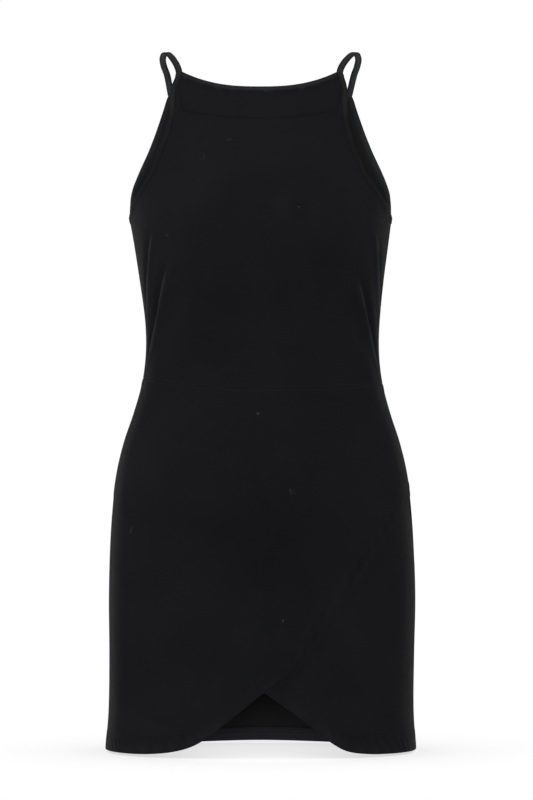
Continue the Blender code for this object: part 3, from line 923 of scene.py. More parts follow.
def join_pieces(name: str, parts: list[bpy.types.Object]) -> bpy.types.Object:
    """Makes one piece of several with the same finish.

    Args:
        name: The piece's name.
        parts: The pieces, which are used up.

    Returns:
        The object.
    """
    whole = bmesh.new()
    for part in parts:
        whole.from_mesh(part.data)
    mesh = bpy.data.meshes.new(name)
    whole.to_mesh(mesh)
    whole.free()
    mesh.shade_smooth()
    mesh.materials.append(parts[0].data.materials[0])
    for part in parts:
        old = part.data
        bpy.data.objects.remove(part, do_unlink=True)
        bpy.data.meshes.remove(old)
    piece = bpy.data.objects.new(name, mesh)
    bpy.context.scene.collection.objects.link(piece)
    return piece


def fit(piece: bpy.types.Object, node: str = "") -> None:
    """Fits a piece to the frame and reports it.

    Args:
        piece: The piece.
        node: The solid that it stands for, if it stands for one.
    """
    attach(piece, BODY)
    if node:
        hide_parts(node)
    log.info("%s: %d points, %d faces", piece.name, len(piece.data.vertices), len(piece.data.polygons))


def spaced(low: float, high: float, step: float) -> Array:
    """Even values from low to high, no further apart than a step."""
    return np.linspace(low, high, max(int(math.ceil(abs(high - low) / step)), 1) + 1)


def merged(*runs: Array) -> Array:
    """Several runs of values as one rising run, with values that nearly meet left out."""
    values = np.sort(np.concatenate(runs))
    keep = np.concatenate([[True], np.diff(values) > 1e-5])
    return values[keep]


def thread_run(
    name: str, points: Array, normals: Array, material: bpy.types.Material, pitch: float, radius: float,
    gap: float = 0.16,
) -> bpy.types.Object:
    """A row of stitches: a thread that lies on the cloth and dips into it between one stitch and the next.

    Args:
        name: The row's name.
        points: The stitch line, on the face of the cloth.
        normals: The cloth's outward directions there.
        material: The thread's finish.
        pitch: The length of a stitch.
        radius: Half the thread's thickness.
        gap: The share of each stitch over which the thread goes down and comes up.

    Returns:
        The object.
    """
    lengths = run_lengths(points, 0)
    count = max(int(lengths[-1] / pitch), 1)
    beat = np.array([0.0, gap, 0.5, 1.0 - gap])
    share = (np.arange(count)[:, None] + beat).ravel()
    share = np.append(share, count) / count
    lift = np.append(np.tile([-1.3, 0.75, 1.0, 0.75], count), -1.3) * radius
    at = share * lengths[-1]
    middle, up = read_along(at, lengths, points), unit(read_along(at, lengths, normals))
    skin = (middle + lift[:, None] * up)[:, None] + radius * rings(middle, up)
    pattern = np.stack(np.broadcast_arrays(at[:, None], RING[None] / (2.0 * np.pi)), axis=-1)
    return add_piece(name, skin, material, pattern, weld=True, cap=True)


def closed_fold(
    half: float, face: float, under: float, slot_top: float, slot_low: float, reach: float
) -> tuple[Array, Array]:
    """The section of a strip folded over an edge, as one closed outline.

    Args:
        half: Half the strip's finished width.
        face: How far its outer face stands from its middle plane.
        under: How far its inner face stands from the middle plane.
        slot_top: The height of the slot's outer side over the middle plane.
        slot_low: The height of the slot's inner side.
        reach: How far the slot runs up past the strip's middle.

    Returns:
        How far each point lies across the strip, towards its fold, and through it, outwards.
    """
    nose = 0.0010
    turn = np.linspace(-0.5 * np.pi, 0.5 * np.pi, 7)[::-1]
    outer_middle, outer_radius = 0.5 * (face + slot_top), 0.5 * (face - slot_top)
    inner_middle, inner_radius = 0.5 * (slot_low - under), 0.5 * (slot_low + under)
    lip = np.linspace(-0.5 * np.pi, -1.5 * np.pi, 5)
    outer_lip = (-half + outer_radius * (1.0 + np.cos(lip)), outer_middle + outer_radius * np.sin(lip))
    across = np.linspace(-half + 1.6 * outer_radius, half - nose, 11)[1:-1]
    outer_face = (across, np.full_like(across, face))
    bend = (half - nose + nose * np.cos(turn), np.where(turn > 0.0, face, under) * np.sin(turn))
    inner_face = (across[::-2], np.full_like(across[::-2], -under))
    inner_lip = (-half + inner_radius * (1.0 + np.cos(lip)), inner_middle + inner_radius * np.sin(lip))
    slot = (np.array([reach, reach]), np.array([slot_low, slot_top]))
    parts = (outer_lip, outer_face, bend, inner_face, inner_lip, slot)
    a = np.concatenate([part[0] for part in parts] + [outer_lip[0][:1]])
    t = np.concatenate([part[1] for part in parts] + [outer_lip[1][:1]])
    return a, t


# ---------------------------------------- bodice


@dataclass(frozen=True)
class Cut:
    """The lines on which the dress is cut: its waist seam, necklines and armholes."""

    underarm_z: float = -0.1890
    waist_front_z: float = -0.3730
    waist_left_z: float = -0.3668
    waist_right_z: float = -0.3612
    waist_back_z: float = -0.3620
    waist_blend: float = 0.0900
    corner_blend: float = 0.0300
    front_neck_z: float = -0.0392
    front_neck_rise: float = 0.0180
    front_neck_half: float = 0.0865
    front_neck_power: float = 2.6
    back_neck_z: float = -0.0600
    back_neck_rise: float = 0.0260
    back_neck_half: float = 0.0975
    back_neck_power: float = 2.2
    binding_width: float = 0.0063
    neck_binding_width: float = 0.0076
    binding_gap: float = 0.0004
    # How wide the painted highlight along the waist seam is.
    seam_light_breadth: float = 0.0017
    right_front_armhole: tuple[ArmholeRow, ...] = table(
        ArmholeRow,
        # z, angle
        (-0.1890, 90.0), (-0.1866, 81.0), (-0.1810, 73.0), (-0.1694, 64.6), (-0.1571, 56.4),
        (-0.1382, 47.8), (-0.1123, 41.5), (-0.0905, 37.1), (-0.0709, 34.7), (-0.0520, 33.8),
        (-0.0430, 33.4), (-0.0360, 32.3), (-0.0260, 30.4),
    )
    left_front_armhole: tuple[ArmholeRow, ...] = table(
        ArmholeRow,
        # z, angle
        (-0.1890, 90.0), (-0.1866, 80.5), (-0.1810, 71.5), (-0.1694, 61.5), (-0.1571, 53.8),
        (-0.1382, 44.8), (-0.1123, 38.4), (-0.0905, 34.8), (-0.0709, 33.1), (-0.0540, 32.6),
        (-0.0430, 32.5), (-0.0350, 31.7), (-0.0260, 30.4),
    )
    back_armhole: tuple[ArmholeRow, ...] = table(
        ArmholeRow,
        # z, angle
        (-0.1890, 90.0), (-0.1866, 97.0), (-0.1805, 102.5), (-0.1700, 107.3), (-0.1571, 112.0),
        (-0.1382, 120.2), (-0.1123, 129.6), (-0.0905, 135.3), (-0.0709, 139.3), (-0.0573, 141.8),
        (-0.0450, 143.85), (-0.0350, 146.45),
    )

    @property
    def waist_mean_z(self) -> float:
        """The waist seam's height midway between its two ends."""
        return 0.5 * (self.waist_left_z + self.waist_right_z)

    def at_seam(self, level: Array) -> Array:
        """Whether heights are up to the underarm, where a bodice panel ends at its side seam."""
        return level <= self.underarm_z + 1e-6

    def waist_z(self, angle: Array) -> Array:
        """The waist seam's height, which dips a little at centre front and centre back."""
        side = np.where(angle > 0.0, self.waist_left_z, self.waist_right_z)
        middle = np.where(np.abs(angle) < 90.0, self.waist_front_z, self.waist_back_z)
        return side + (middle - side) * np.cos(np.radians(angle)) ** 2

    def neck_z(self, x: Array, half: Half) -> Array:
        """The height of the finished neckline.

        Args:
            x: Distances from the middle.
            half: The front or the back.

        Returns:
            The height at each of them.
        """
        if half is Half.BACK:
            share = np.abs(x) / self.back_neck_half
            return self.back_neck_z + self.back_neck_rise * share**self.back_neck_power
        share = np.abs(x) / self.front_neck_half
        return self.front_neck_z + self.front_neck_rise * share**self.front_neck_power

    def panel_top_z(self, x: Array, half: Half) -> Array:
        """The height at which a bodice panel meets its neck binding."""
        return self.neck_z(x, half) - self.neck_binding_width - self.binding_gap

    def armhole(self, half: Half, side: Side) -> SmoothTable:
        """The curve of a bodice panel's armhole edge: its angle, without its sign, at each height."""
        front = self.left_front_armhole if side is Side.LEFT else self.right_front_armhole
        return SmoothTable(self.back_armhole if half is Half.BACK else front, "z", "angle")


def sideways(angle: Array) -> Array:
    """How far from the middle the form is at an angle, as a share of its half width."""
    power = Form.squareness
    sine, cosine = np.abs(np.sin(np.radians(angle))), np.abs(np.cos(np.radians(angle)))
    return sine * (sine**power + cosine**power) ** (-1.0 / power)


def crowded(share: Array, draw: float = 0.06) -> Array:
    """Moves values from -1 to 1 a little towards the nearer end."""
    return share + draw * np.sin(np.pi * share)


@dataclass
class Bodice:
    """The front and back bodice panels and the facing inside the front neckline."""

    form: Form
    cut: Cut
    cloth: Cloth
    material: bpy.types.Material
    lining: bpy.types.Material
    facing_material: bpy.types.Material
    front_girth: float = 0.434
    back_girth: float = 0.400
    underarm_reach: float = 0.0100
    fine_low_z: float = -0.0800
    fine_high_z: float = -0.0500
    fine_step: float = 0.0010
    tuck: float = 0.0036
    front_stem: float = 0.0021
    facing_middle_z: float = -0.0753
    facing_end_z: float = -0.0660
    facing_end_half: float = 0.0850
    facing_top_half: float = 0.0896
    facing_top_z: float = -0.0364
    facing_wall: float = 0.0005
    facing_gap: float = 0.00012
    facing_lift: float = 0.00055
    facing_blur: float = 0.0013
    rim_share: float = 0.35
    rim_offset: float = 0.0016
    rim_breadth: float = 0.0010
    rim_fade: float = 0.004
    # Painted shadow along the facing's edge, where it steps, and just under the neck binding.
    press_offset: float = 0.0006
    low_shadow_breadth: float = 0.0018
    side_shadow_breadth: float = 0.0020
    neck_shadow_breadth: float = 0.0012
    shadow_fade: float = 0.002
    facing_shadow: float = 0.17
    neck_shadow: float = 0.30
    # Painted highlight along the waist seam.
    seam_light: float = 0.20
    # The wrong side is painted lighter, most near the armholes: painted light falling in through them.
    inner_tone: float = 1.2
    armhole_light: float = 0.6

    def corner(self, half: Half) -> tuple[float, float]:
        """The top corner of a panel, where its neckline meets its armhole.

        Args:
            half: The front or the back.

        Returns:
            The corner's height, and its distance from the middle.
        """
        edge = self.cut.armhole(half, Side.LEFT)
        z = top = float(edge.keys[-1])
        for _ in range(20):
            x = abs(float(self.form.bare(edge.read(np.array(z)), np.array(z))[0]))
            z = min(float(self.cut.panel_top_z(np.array(x), half)), top)
        return z, abs(float(self.form.bare(edge.read(np.array(z)), np.array(z))[0]))

    def edge_angle(self, level: Array, half: Half, sign: Array | float = 1.0) -> Array:
        """The angle from the panel's middle at which it ends: at its side seam, and higher up at its armhole.

        Args:
            level: Heights at the panel's edge.
            half: The front or the back.
            sign: Over nought on the wearer's left.

        Returns:
            The angles, without their sign.
        """
        left, right = (self.cut.armhole(half, side).read(level) for side in (Side.LEFT, Side.RIGHT))
        turn = np.degrees(0.5 * self.cloth.seam_gap / self.form.column("front", level))
        at_seam = self.cut.at_seam(level)
        angle = np.where(at_seam, 90.0, np.where(np.asarray(sign) > 0.0, left, right))
        angle = 180.0 - angle if half is Half.BACK else angle
        return angle - np.where(at_seam, turn, 0.0)

    def height(self, angle: Array, level: Array, half: Half) -> Array:
        """The heights of a panel's rows.

        Args:
            angle: Angles round the figure, in degrees.
            level: The height that each row has at the panel's edge.
            half: The front or the back.

        Returns:
            The height of each place.
        """
        cut = self.cut
        top, corner_x = self.corner(half)
        low = 1.0 - smooth_step(cut.waist_mean_z, cut.waist_mean_z + cut.waist_blend, level)
        high = smooth_step(cut.underarm_z + cut.corner_blend, top, level)
        x = corner_x * sideways(angle) / sideways(self.edge_angle(level, half, angle))
        dip = low * (cut.waist_z(half_turn(angle)) - cut.waist_mean_z)
        rise = high * (cut.panel_top_z(x, half) - cut.panel_top_z(np.array(corner_x), half))
        return level + dip + rise

    def neck_edge(self, share: Array, half: Half) -> tuple[Array, Array]:
        """The top edge of a panel.

        Args:
            share: Places along it, from -1 to 1.
            half: The front or the back.

        Returns:
            How many degrees each lies from the panel's middle, and its height.
        """
        top, _ = self.corner(half)
        turn = share * float(self.edge_angle(np.array(top), half))
        return turn, self.height(half.centre + turn, np.full_like(turn, top), half)

    def facing_z(self, x: Array) -> Array:
        """The height of the facing's lower edge at a distance from the middle."""
        share = np.clip(np.abs(x) / self.facing_end_half, 0.0, 1.0)
        return blend(self.facing_middle_z, self.facing_end_z, share**2)

    def facing_end(self, z: Array) -> Array:
        """How far from the middle the facing's ends lie at a height."""
        slope = (self.facing_top_half - self.facing_end_half) / (self.facing_top_z - self.facing_end_z)
        return self.facing_end_half + slope * (z - self.facing_end_z)

    def facing_relief(self, x: Array, z: Array) -> Array:
        """How far the facing beneath pushes the front panel out.

        Args:
            x: Distances from the middle.
            z: Heights.

        Returns:
            The distance at each place.
        """
        inside, above, blur = self.facing_end(z) - np.abs(x), z - self.facing_z(x), self.facing_blur
        pressed = smooth_step(-blur, blur, inside) * smooth_step(-blur, blur, above)
        rim = self.rim_share * bell(above + self.rim_offset, self.rim_breadth)
        return self.facing_lift * (pressed - rim * smooth_step(-self.rim_fade, self.rim_fade, inside))

    def tone(self, angle: Array, z: Array, half: Half) -> Array:
        """How light a panel is drawn: painted shadow along the facing's edge and under the binding, and a
        painted highlight along the waist seam.

        Args:
            angle: Angles round the figure, in degrees.
            z: Heights.
            half: The front or the back.

        Returns:
            The share of its colour at each place.
        """
        tone = self.form.nap(angle, z)
        x = self.form.aside(angle, z)
        if half is Half.FRONT:
            # Painted shadow along the facing's lower edge and its sides, uneven along its length.
            inside, above, fade = self.facing_end(z) - np.abs(x), z - self.facing_z(x), self.shadow_fade
            low = bell(above + self.press_offset, self.low_shadow_breadth) * smooth_step(-fade, fade, inside)
            sides = bell(inside + self.press_offset, self.side_shadow_breadth) * smooth_step(-fade, fade, above)
            uneven = 0.55 + 0.45 * wave(x, 0.071, 0.6) * wave(x, 0.033, 2.0)
            tone = tone - self.facing_shadow * uneven * np.maximum(low, sides)
        # Painted shadow just under the neck binding, broken along its length.
        broken = 0.60 + 0.40 * wave(x, 0.052, 1.1) * wave(x, 0.019)
        over = self.cut.panel_top_z(x, half) + self.press_offset - z
        tone = tone - self.neck_shadow * broken * bell(over, self.neck_shadow_breadth)
        # Painted highlight along the waist seam.
        return tone + self.seam_light * bell(z - self.cut.waist_z(half_turn(angle)), self.cut.seam_light_breadth)

    def face(self, angle: Array, z: Array, half: Half, inset: Array | float = 0.0) -> Array:
        """The points of a panel's face.

        Args:
            angle: Angles round the figure.
            z: Heights.
            half: The front or the back.
            inset: How far inside the face.

        Returns:
            One point a row.
        """
        if half is Half.FRONT:
            inset = inset - self.facing_relief(self.form.aside(angle, z), z)
        return self.form.lay(angle, z, inset)

    def edge_run(self, side: Side, half: Half, levels: Array) -> tuple[Array, Array, Array]:
        """The armhole edge of a panel.

        Args:
            side: The wearer's side.
            half: The front or the back.
            levels: The heights that it is read at, from the underarm up.

        Returns:
            The edge's points, the panel's outward directions there, and the directions off its edge.
        """
        edge = self.cut.armhole(half, side).read(levels)
        angle = np.where(self.cut.at_seam(levels), 90.0, edge) * side.value
        points, normals = self.face(angle, levels, half), self.form.normal(angle, levels)
        ahead = unit(np.gradient(points, axis=0))
        turn = side.value if half is Half.FRONT else -side.value
        return points, normals, turn * unit(np.cross(ahead, normals))

    def levels(self, half: Half) -> Array:
        """The rows of a panel.

        Args:
            half: The front or the back.

        Returns:
            The height of each at the panel's edge.
        """
        top, _ = self.corner(half)
        step, under = self.cloth.spacing, self.cut.underarm_z
        return merged(
            spaced(self.cut.waist_mean_z + self.cloth.seam_roll, under, step),
            under + self.underarm_reach * spaced(0.0, 1.0, 0.09) ** 1.6,
            spaced(under + self.underarm_reach, self.fine_low_z, step),
            spaced(self.fine_low_z, self.fine_high_z, self.fine_step if half is Half.FRONT else step),
            spaced(self.fine_high_z, top, step),
        )

    def panel_points(self, half: Half) -> tuple[Array, Array]:
        """The points of a panel: its face, its edges tucked into the bindings and its seam edges rolled in.

        Args:
            half: The front or the back.

        Returns:
            The points over columns, round the figure, and rows, upwards, and how light each is.
        """
        cloth, front = self.cloth, half is Half.FRONT
        pulls, sinks = cloth.side_edge(half)
        low_pulls, low_sinks = cloth.rolled_edge(self.front_stem if front else cloth.seam_stem)
        lows, tops = len(low_pulls), 3
        tucks, high_tucks = (self.tuck * np.linspace(0.0, 1.0, n + 1)[1:] for n in (len(pulls), tops))
        inner = self.levels(half)
        flat = np.zeros(len(inner))
        level = np.pad(inner, (lows, tops), mode="edge")
        rise = np.concatenate([low_pulls[::-1] - cloth.seam_roll, flat, high_tucks])
        sink = np.concatenate([low_sinks[::-1], flat, np.zeros(tops)])
        edge = self.edge_angle(level, half)
        at_seam = self.cut.at_seam(level)
        rate = self.form.arc_rate(np.where(at_seam, 90.0, half.centre + edge), level)
        girth = self.front_girth if front else self.back_girth
        w = crowded(np.linspace(-1.0, 1.0, int(girth / cloth.spacing) + 1))
        first = np.where(at_seam, cloth.seam_roll / rate, 0.0)
        angle = half.centre + w[:, None] * (self.edge_angle(level[None], half, w[:, None]) - first[None])
        z = self.height(angle, np.broadcast_to(level, angle.shape), half)
        z = z + rise + 0.5 * cloth.seam_gap * (rise < 0.0)
        inner_points = self.face(angle, z, half, np.broadcast_to(sink, angle.shape))
        tone = np.pad(self.tone(angle, z, half), ((len(pulls), len(pulls)), (0, 0)), mode="edge")
        sides = []
        for sign in (-1, 1):
            seam_turn = self.edge_angle(level, half, sign)[None] - pulls[:, None] / rate[None]
            seam_angle = half.centre + sign * seam_turn
            seam_z = self.height(seam_angle, np.broadcast_to(level, seam_angle.shape), half) + rise
            rolled = self.face(seam_angle, seam_z, half, sinks[:, None] + sink[None])
            _, _, off = self.edge_run(Side(sign if front else -sign), half, inner)
            off = np.pad(off, ((lows, tops), (0, 0)), mode="edge")
            border = inner_points[0 if sign < 0 else -1]
            tucked = border[None] + tucks[:, None, None] * off[None]
            run = np.where(at_seam[None, :, None], rolled, tucked)
            sides.append(run[::-1] if sign < 0 else run)
        return np.concatenate([sides[0], inner_points, sides[1]], axis=0), tone

    def build_panel(self, half: Half) -> bpy.types.Object:
        """Builds a bodice panel, whose wrong side is painted lighter near its armholes, as painted light
        falling in through them.

        Args:
            half: The front or the back.

        Returns:
            The panel.
        """
        points, tone = self.panel_points(half)
        share = np.abs(np.linspace(-1.0, 1.0, points.shape[0]))[:, None]
        # Painted light on the wrong side, strongest near the armholes.
        inner = self.inner_tone + self.armhole_light * smooth_step(0.86, 0.96, share)
        return add_piece(
            f"{half.value}_bodice_cloth", points, self.material, wall=self.cloth.wall, tone=tone,
            lining=self.lining, lining_tone=np.broadcast_to(inner, tone.shape),
        )

    def build_facing(self) -> bpy.types.Object:
        """Builds the facing that backs the front neckline.

        Returns:
            The facing.
        """
        columns = crowded(np.linspace(-1.0, 1.0, 101))
        side, row = weave(columns, np.append(spaced(0.0, 1.0, 0.05), [1.05, 1.09]))
        share = np.clip(row, 0.0, 1.0)
        half_x = blend(self.facing_end_half, self.facing_top_half, share)
        z_guess = blend(self.facing_end_z, self.facing_top_z, share)
        angle = self.angle_at(half_x, z_guess) * side
        x = self.form.aside(angle, z_guess)
        z = blend(self.facing_z(x), self.cut.panel_top_z(x, Half.FRONT), row)
        points = self.face(angle, z, Half.FRONT, self.cloth.wall + self.facing_gap)
        name, wall, tone = "front_neck_facing_cloth", self.facing_wall, np.ones_like(z)
        return add_piece(name, points, self.facing_material, wall=wall, tone=tone)

    def angle_at(self, half_x: Array, z: Array) -> Array:
        """The angle, up to 90 degrees, at which the form is so far from its middle at a height."""
        share = np.clip(half_x / self.form.column("half_width", z), 0.0, 0.999)
        forward = (1.0 - share**Form.squareness) ** (1.0 / Form.squareness)
        return np.degrees(np.arctan2(share, forward))

    def build(self) -> None:
        """Builds the bodice's three pieces and fits them to the frame."""
        pieces = [self.build_panel(Half.FRONT), self.build_panel(Half.BACK), self.build_facing()]
        sizes = ((0.462, 0.352, 0.118), (0.420, 0.330, 0.104), (0.196, 0.046, 0.0075))
        slots = ("bodice_cloth", "bodice_cloth", "facing_cloth")
        for piece, (width, length, area), slot in zip(pieces, sizes, slots):
            fit(piece, piece.name.removesuffix("_cloth"))


# ---------------------------------------- skirt


@dataclass(frozen=True)
class HemRow:
    """How deep a hem is turned up at an angle from its layer's middle, and how high its puckers stand."""

    angle: float
    depth: float
    pucker: float


@dataclass
class SkirtLayer:
    """One of the skirt's three panels, with its shaped lower edge and its hem.

    The angles of its two tables are taken from its own middle. The puckers of its hem are each as long as
    pucker_length, and phase says where they begin, in radians.
    """

    name: str
    half: Half
    form: Form
    cut: Cut
    cloth: Cloth
    edge_rows: tuple[EdgeRow, ...]
    hem_rows: tuple[HemRow, ...]
    pucker_length: float
    phase: float
    stem: float
    sunk: float = 0.0
    above: SkirtLayer | None = None
    below: SkirtLayer | None = None
    girth: float = 0.468
    hem_margin: float = 0.0035
    hem_overlap: float = 0.0012
    hem_reach: float = 0.05
    low_row: float = 0.0045
    high_row: float = 0.0013
    stitch_dip: float = 0.00016
    stitch_breadth: float = 0.0009
    hem_print: float = 0.00030
    waist_print: float = 0.00022
    waist_band: tuple[Pair, Pair] = ((0.0008, 0.0024), (0.0070, 0.0095))
    lap_print: float = 0.00035
    # Painted light and shade: a highlight along the waist seam, light on the turned-up hem inside and just
    # below the edge of the layer above, light and shade on the low puckers.
    seam_light: float = 0.20
    turned_light: float = 1.8
    edge_light: float = 0.15
    lap_light: float = 0.24
    pucker_light: float = 0.13
    low_band_light: float = 0.42
    # The wrong side is painted darker higher up: painted shade inside the skirt.
    lining_low: float = 0.91
    lining_high: float = 0.29

    def __post_init__(self) -> None:
        """Works out the layer's lines, and how steeply its lower edge slants."""
        self.centre = self.half.centre
        self.edge = SmoothTable(self.edge_rows, "angle", "z")
        self.depths = SmoothTable(self.hem_rows, "angle", "depth")
        self.puckers = SmoothTable(self.hem_rows, "angle", "pucker")
        self.fine = np.linspace(-90.0, 90.0, 721)
        points = self.form.bare(self.centre + self.fine, self.edge.read(self.fine))
        self.lengths = run_lengths(points, 0)
        rise = np.abs(np.gradient(points[:, 2], self.lengths))
        slant = 1.0 / np.sqrt(np.clip(1.0 - rise**2, 0.12, 1.0))
        self.slants = np.convolve(np.pad(slant, 8, mode="edge"), np.ones(17) / 17.0, mode="valid")

    def slant(self, turn: Array) -> Array:
        """How much longer the upright distance to the edge is than the square one."""
        return np.interp(turn, self.fine, self.slants)

    def along(self, turn: Array) -> Array:
        """How far along the lower edge an angle is."""
        return np.interp(turn, self.fine, self.lengths)

    def off_edge(self, turn: Array, z: Array) -> Array:
        """The square distance of a place above the panel's lower edge."""
        return (z - self.edge.read(turn)) / self.slant(turn)

    def ripple(self, along: Array, away: Array) -> Array:
        """The uneven puckers of the hem, from -1 to 1, so far along the edge and away from it."""
        phase = 2.0 * np.pi * (along + 0.55 * away) / self.pucker_length + self.phase
        phase = phase + 1.1 * wave(along, 0.061, 1.7 * self.phase)
        return (0.62 + 0.38 * wave(along, 0.143, 2.3 * self.phase)) * np.sin(phase)

    def relief(self, turn: Array, z: Array) -> Array:
        """How far the hem's puckers and stitch lines and what lies beneath push the face out.

        Args:
            turn: Angles from the layer's middle, in degrees.
            z: Heights.

        Returns:
            The distance at each place.
        """
        away = self.off_edge(turn, z)
        depth = self.depths.read(turn)
        along = self.along(turn)
        share = np.clip(away / depth, 0.0, 1.6)
        window = np.where(share < 1.0, np.sin(np.pi * np.clip(0.22 + 0.78 * share, 0.0, 1.0)) ** 1.2, 0.0)
        tail = 0.28 * bell(share - 1.15, 0.22)
        relief = self.puckers.read(turn) * self.ripple(along, away) * (window + tail)
        for row in self.stitch_rows():
            relief = relief - self.stitch_dip * bell(away - depth + row, self.stitch_breadth)
        on_hem = smooth_step(-0.0012, 0.0012, depth - away) * smooth_step(-0.002, 0.004, away)
        drop = self.cut.waist_z(half_turn(self.centre + turn)) - z
        under_waist = between(*self.waist_band, drop)
        relief = relief + self.hem_print * on_hem + self.waist_print * under_waist
        if self.below is not None:
            hidden = self.below.off_edge(turn, z)
            band = smooth_step(-0.003, 0.003, hidden) * (1.0 - 0.6 * smooth_step(0.011, 0.018, hidden))
            relief = relief + self.lap_print * band * (hidden > -0.01)
        return relief

    def stitch_rows(self) -> tuple[float, float]:
        """How far inside the top of the hem its two rows of stitches lie."""
        return self.high_row, self.low_row

    def inset(self, turn: Array, z: Array) -> Array:
        """How far inside the form the layer's face lies.

        Args:
            turn: Angles from the layer's middle, in degrees.
            z: Heights.

        Returns:
            The distance at each place.
        """
        if self.above is None:
            return -self.relief(turn, z)
        below = self.above.edge.read(turn) - z
        return self.sunk * (1.0 - smooth_step(0.004, 0.080, below)) - self.relief(turn, z)

    def face(self, turn: Array, z: Array, sink: Array | float = 0.0) -> Array:
        """The points of the layer's face, or of a face so far inside it."""
        angle = half_turn(self.centre + turn)
        return self.form.lay(angle, z, self.inset(turn, z) + sink)

    def points(self) -> tuple[Array, Array]:
        """The layer's points: its face, the turned-up hem inside it, and its seam edges rolled in.

        Returns:
            The points over columns, round the figure, and rows, upwards, and how light each is.
        """
        cloth = self.cloth
        roll, hem = cloth.seam_roll, cloth.hem_roll
        quarter = np.linspace(0.0, 0.5 * np.pi, 5)[1:]
        pulls, sinks = cloth.side_edge(self.half)
        w = crowded(np.linspace(-1.0, 1.0, int(self.girth / cloth.spacing) + 1))
        w = np.concatenate([np.full(len(pulls), -1.0), w, np.full(len(pulls), 1.0)])
        inner = np.zeros(len(w) - 2 * len(pulls))
        pull = np.concatenate([pulls[::-1], inner + roll, pulls])
        side_sink = np.concatenate([sinks[::-1], inner, sinks])
        last = 90.0 - math.degrees(0.5 * cloth.seam_gap / self.form.sections[0].front)
        seat = last * w
        top = self.cut.waist_z(half_turn(self.centre + seat)) - 0.5 * cloth.seam_gap
        edge, slant, depth = self.edge.read(seat), self.slant(seat), self.depths.read(seat)
        start, stop = top - roll, edge + slant * (depth + self.hem_margin)
        inside_top = depth + self.hem_overlap
        folds = np.linspace(0.0, np.pi, cloth.fold_steps + 2)[1:-1]
        rows = [(top, roll + self.stem * share) for share in (1.0, 0.5)]
        rows += [(top - roll * (1.0 - math.sin(a)), roll * (1.0 - math.cos(a))) for a in quarter[::-1]]
        count = int(np.median(start - stop) / cloth.spacing)
        rows += [(start + (stop - start) * share, 0.0) for share in np.linspace(0.0, 1.0, count)]
        for share in np.linspace(1.0, 0.0, 15)[1:]:
            rows.append((edge + slant * (hem + (depth + self.hem_margin - hem) * share), 0.0))
        rows += [(edge + slant * hem * (1.0 - math.sin(a)), hem * (1.0 - math.cos(a))) for a in folds]
        for share in np.linspace(0.0, 1.0, 9):
            rows.append((edge + slant * (hem + (inside_top - hem) * share), cloth.hem_depth))
        z = np.stack([height for height, _ in rows], axis=1)[:, ::-1]
        sink = np.array([depth_inside for _, depth_inside in rows])[::-1]
        rate = self.form.arc_rate(self.centre + 90.0 * np.sign(w)[:, None], z)
        turn = w[:, None] * (last - pull[:, None] / rate)
        return self.face(turn, z, sink[None] + side_sink[:, None]), self.tone(turn, z, sink[None])

    def tone(self, turn: Array, z: Array, sink: Array) -> Array:
        """How light the layer is drawn: lighter along the hem band of its slanting edge and just above its
        lowest edge, with painted light and shade on its puckers, seam, lap and turned-up hem.

        Args:
            turn: Angles from the layer's middle, in degrees.
            z: Heights.
            sink: How far inside the face each row lies.

        Returns:
            The share of its colour at each place.
        """
        tone = self.form.nap(self.centre + turn, z)
        inside = smooth_step(self.cloth.hem_roll, self.cloth.hem_depth, sink)
        inside = inside * (z < self.edge.read(turn) + self.hem_reach)
        away, along = self.off_edge(turn, z), self.along(turn)
        up_hem = away / self.depths.read(turn)
        band = (1.0 - smooth_step(0.8, 1.05, up_hem)) * smooth_step(1.03, 1.16, self.slant(turn))
        low = 1.0 - smooth_step(-0.705, -0.670, z)
        uneven = low * (0.65 + 0.35 * wave(along, 0.037, self.phase))
        mottled = (1.0 - low) * wave(along, 0.029, self.phase) * wave(along + away, 0.047)
        tone = tone + self.edge_light * band * (uneven + mottled)
        # Painted light and shade following the low puckers, and a lighter band just above the lowest edges.
        lowest = (1.0 - smooth_step(-0.752, -0.735, z)) * (1.0 - inside)
        low_band = bell(away - 0.0045, 0.0040) * (0.7 + 0.3 * wave(along, 0.019, 2.0 * self.phase))
        pucker_shading = self.ripple(along, away) * (1.0 - smooth_step(0.75, 1.15, up_hem))
        tone = tone + lowest * (self.pucker_light * pucker_shading + self.low_band_light * low_band)
        # Painted highlight along the waist seam.
        drop = z - self.cut.waist_z(half_turn(self.centre + turn))
        tone = tone + self.seam_light * bell(drop, self.cut.seam_light_breadth)
        # Painted light just below the edge of the layer above, laid over the shadow that the edge casts.
        if self.above is not None:
            drop = -self.above.off_edge(turn, z)
            lap = self.lap_light * smooth_step(-0.001, 0.0, drop)
            tone = tone + lap * (1.0 - smooth_step(0.0010, 0.0055, drop))
        # Painted light on the turned-up hem inside.
        return tone * (1.0 + self.turned_light * inside)

    def lining_tone(self, z: Array) -> Array:
        """How light the layer's wrong side is drawn: painted shade, darker higher up inside the skirt."""
        return blend(self.lining_high, self.lining_low, smooth_step(-0.700, -0.765, z))

    def stitch_line(self, row: float, sink: float = 0.0, margin: float = 0.7) -> tuple[Array, Array]:
        """A line of stitches along the hem.

        Args:
            row: How far inside the top of the hem it lies.
            sink: How far inside the face it lies.
            margin: How many degrees it keeps from the side seams.

        Returns:
            Its points, and the cloth's outward directions there.
        """
        turn = np.linspace(-90.0 + margin, 90.0 - margin, 900)
        z = self.edge.read(turn) + self.slant(turn) * (self.depths.read(turn) - row)
        return self.face(turn, z, sink), self.form.normal(half_turn(self.centre + turn), z)


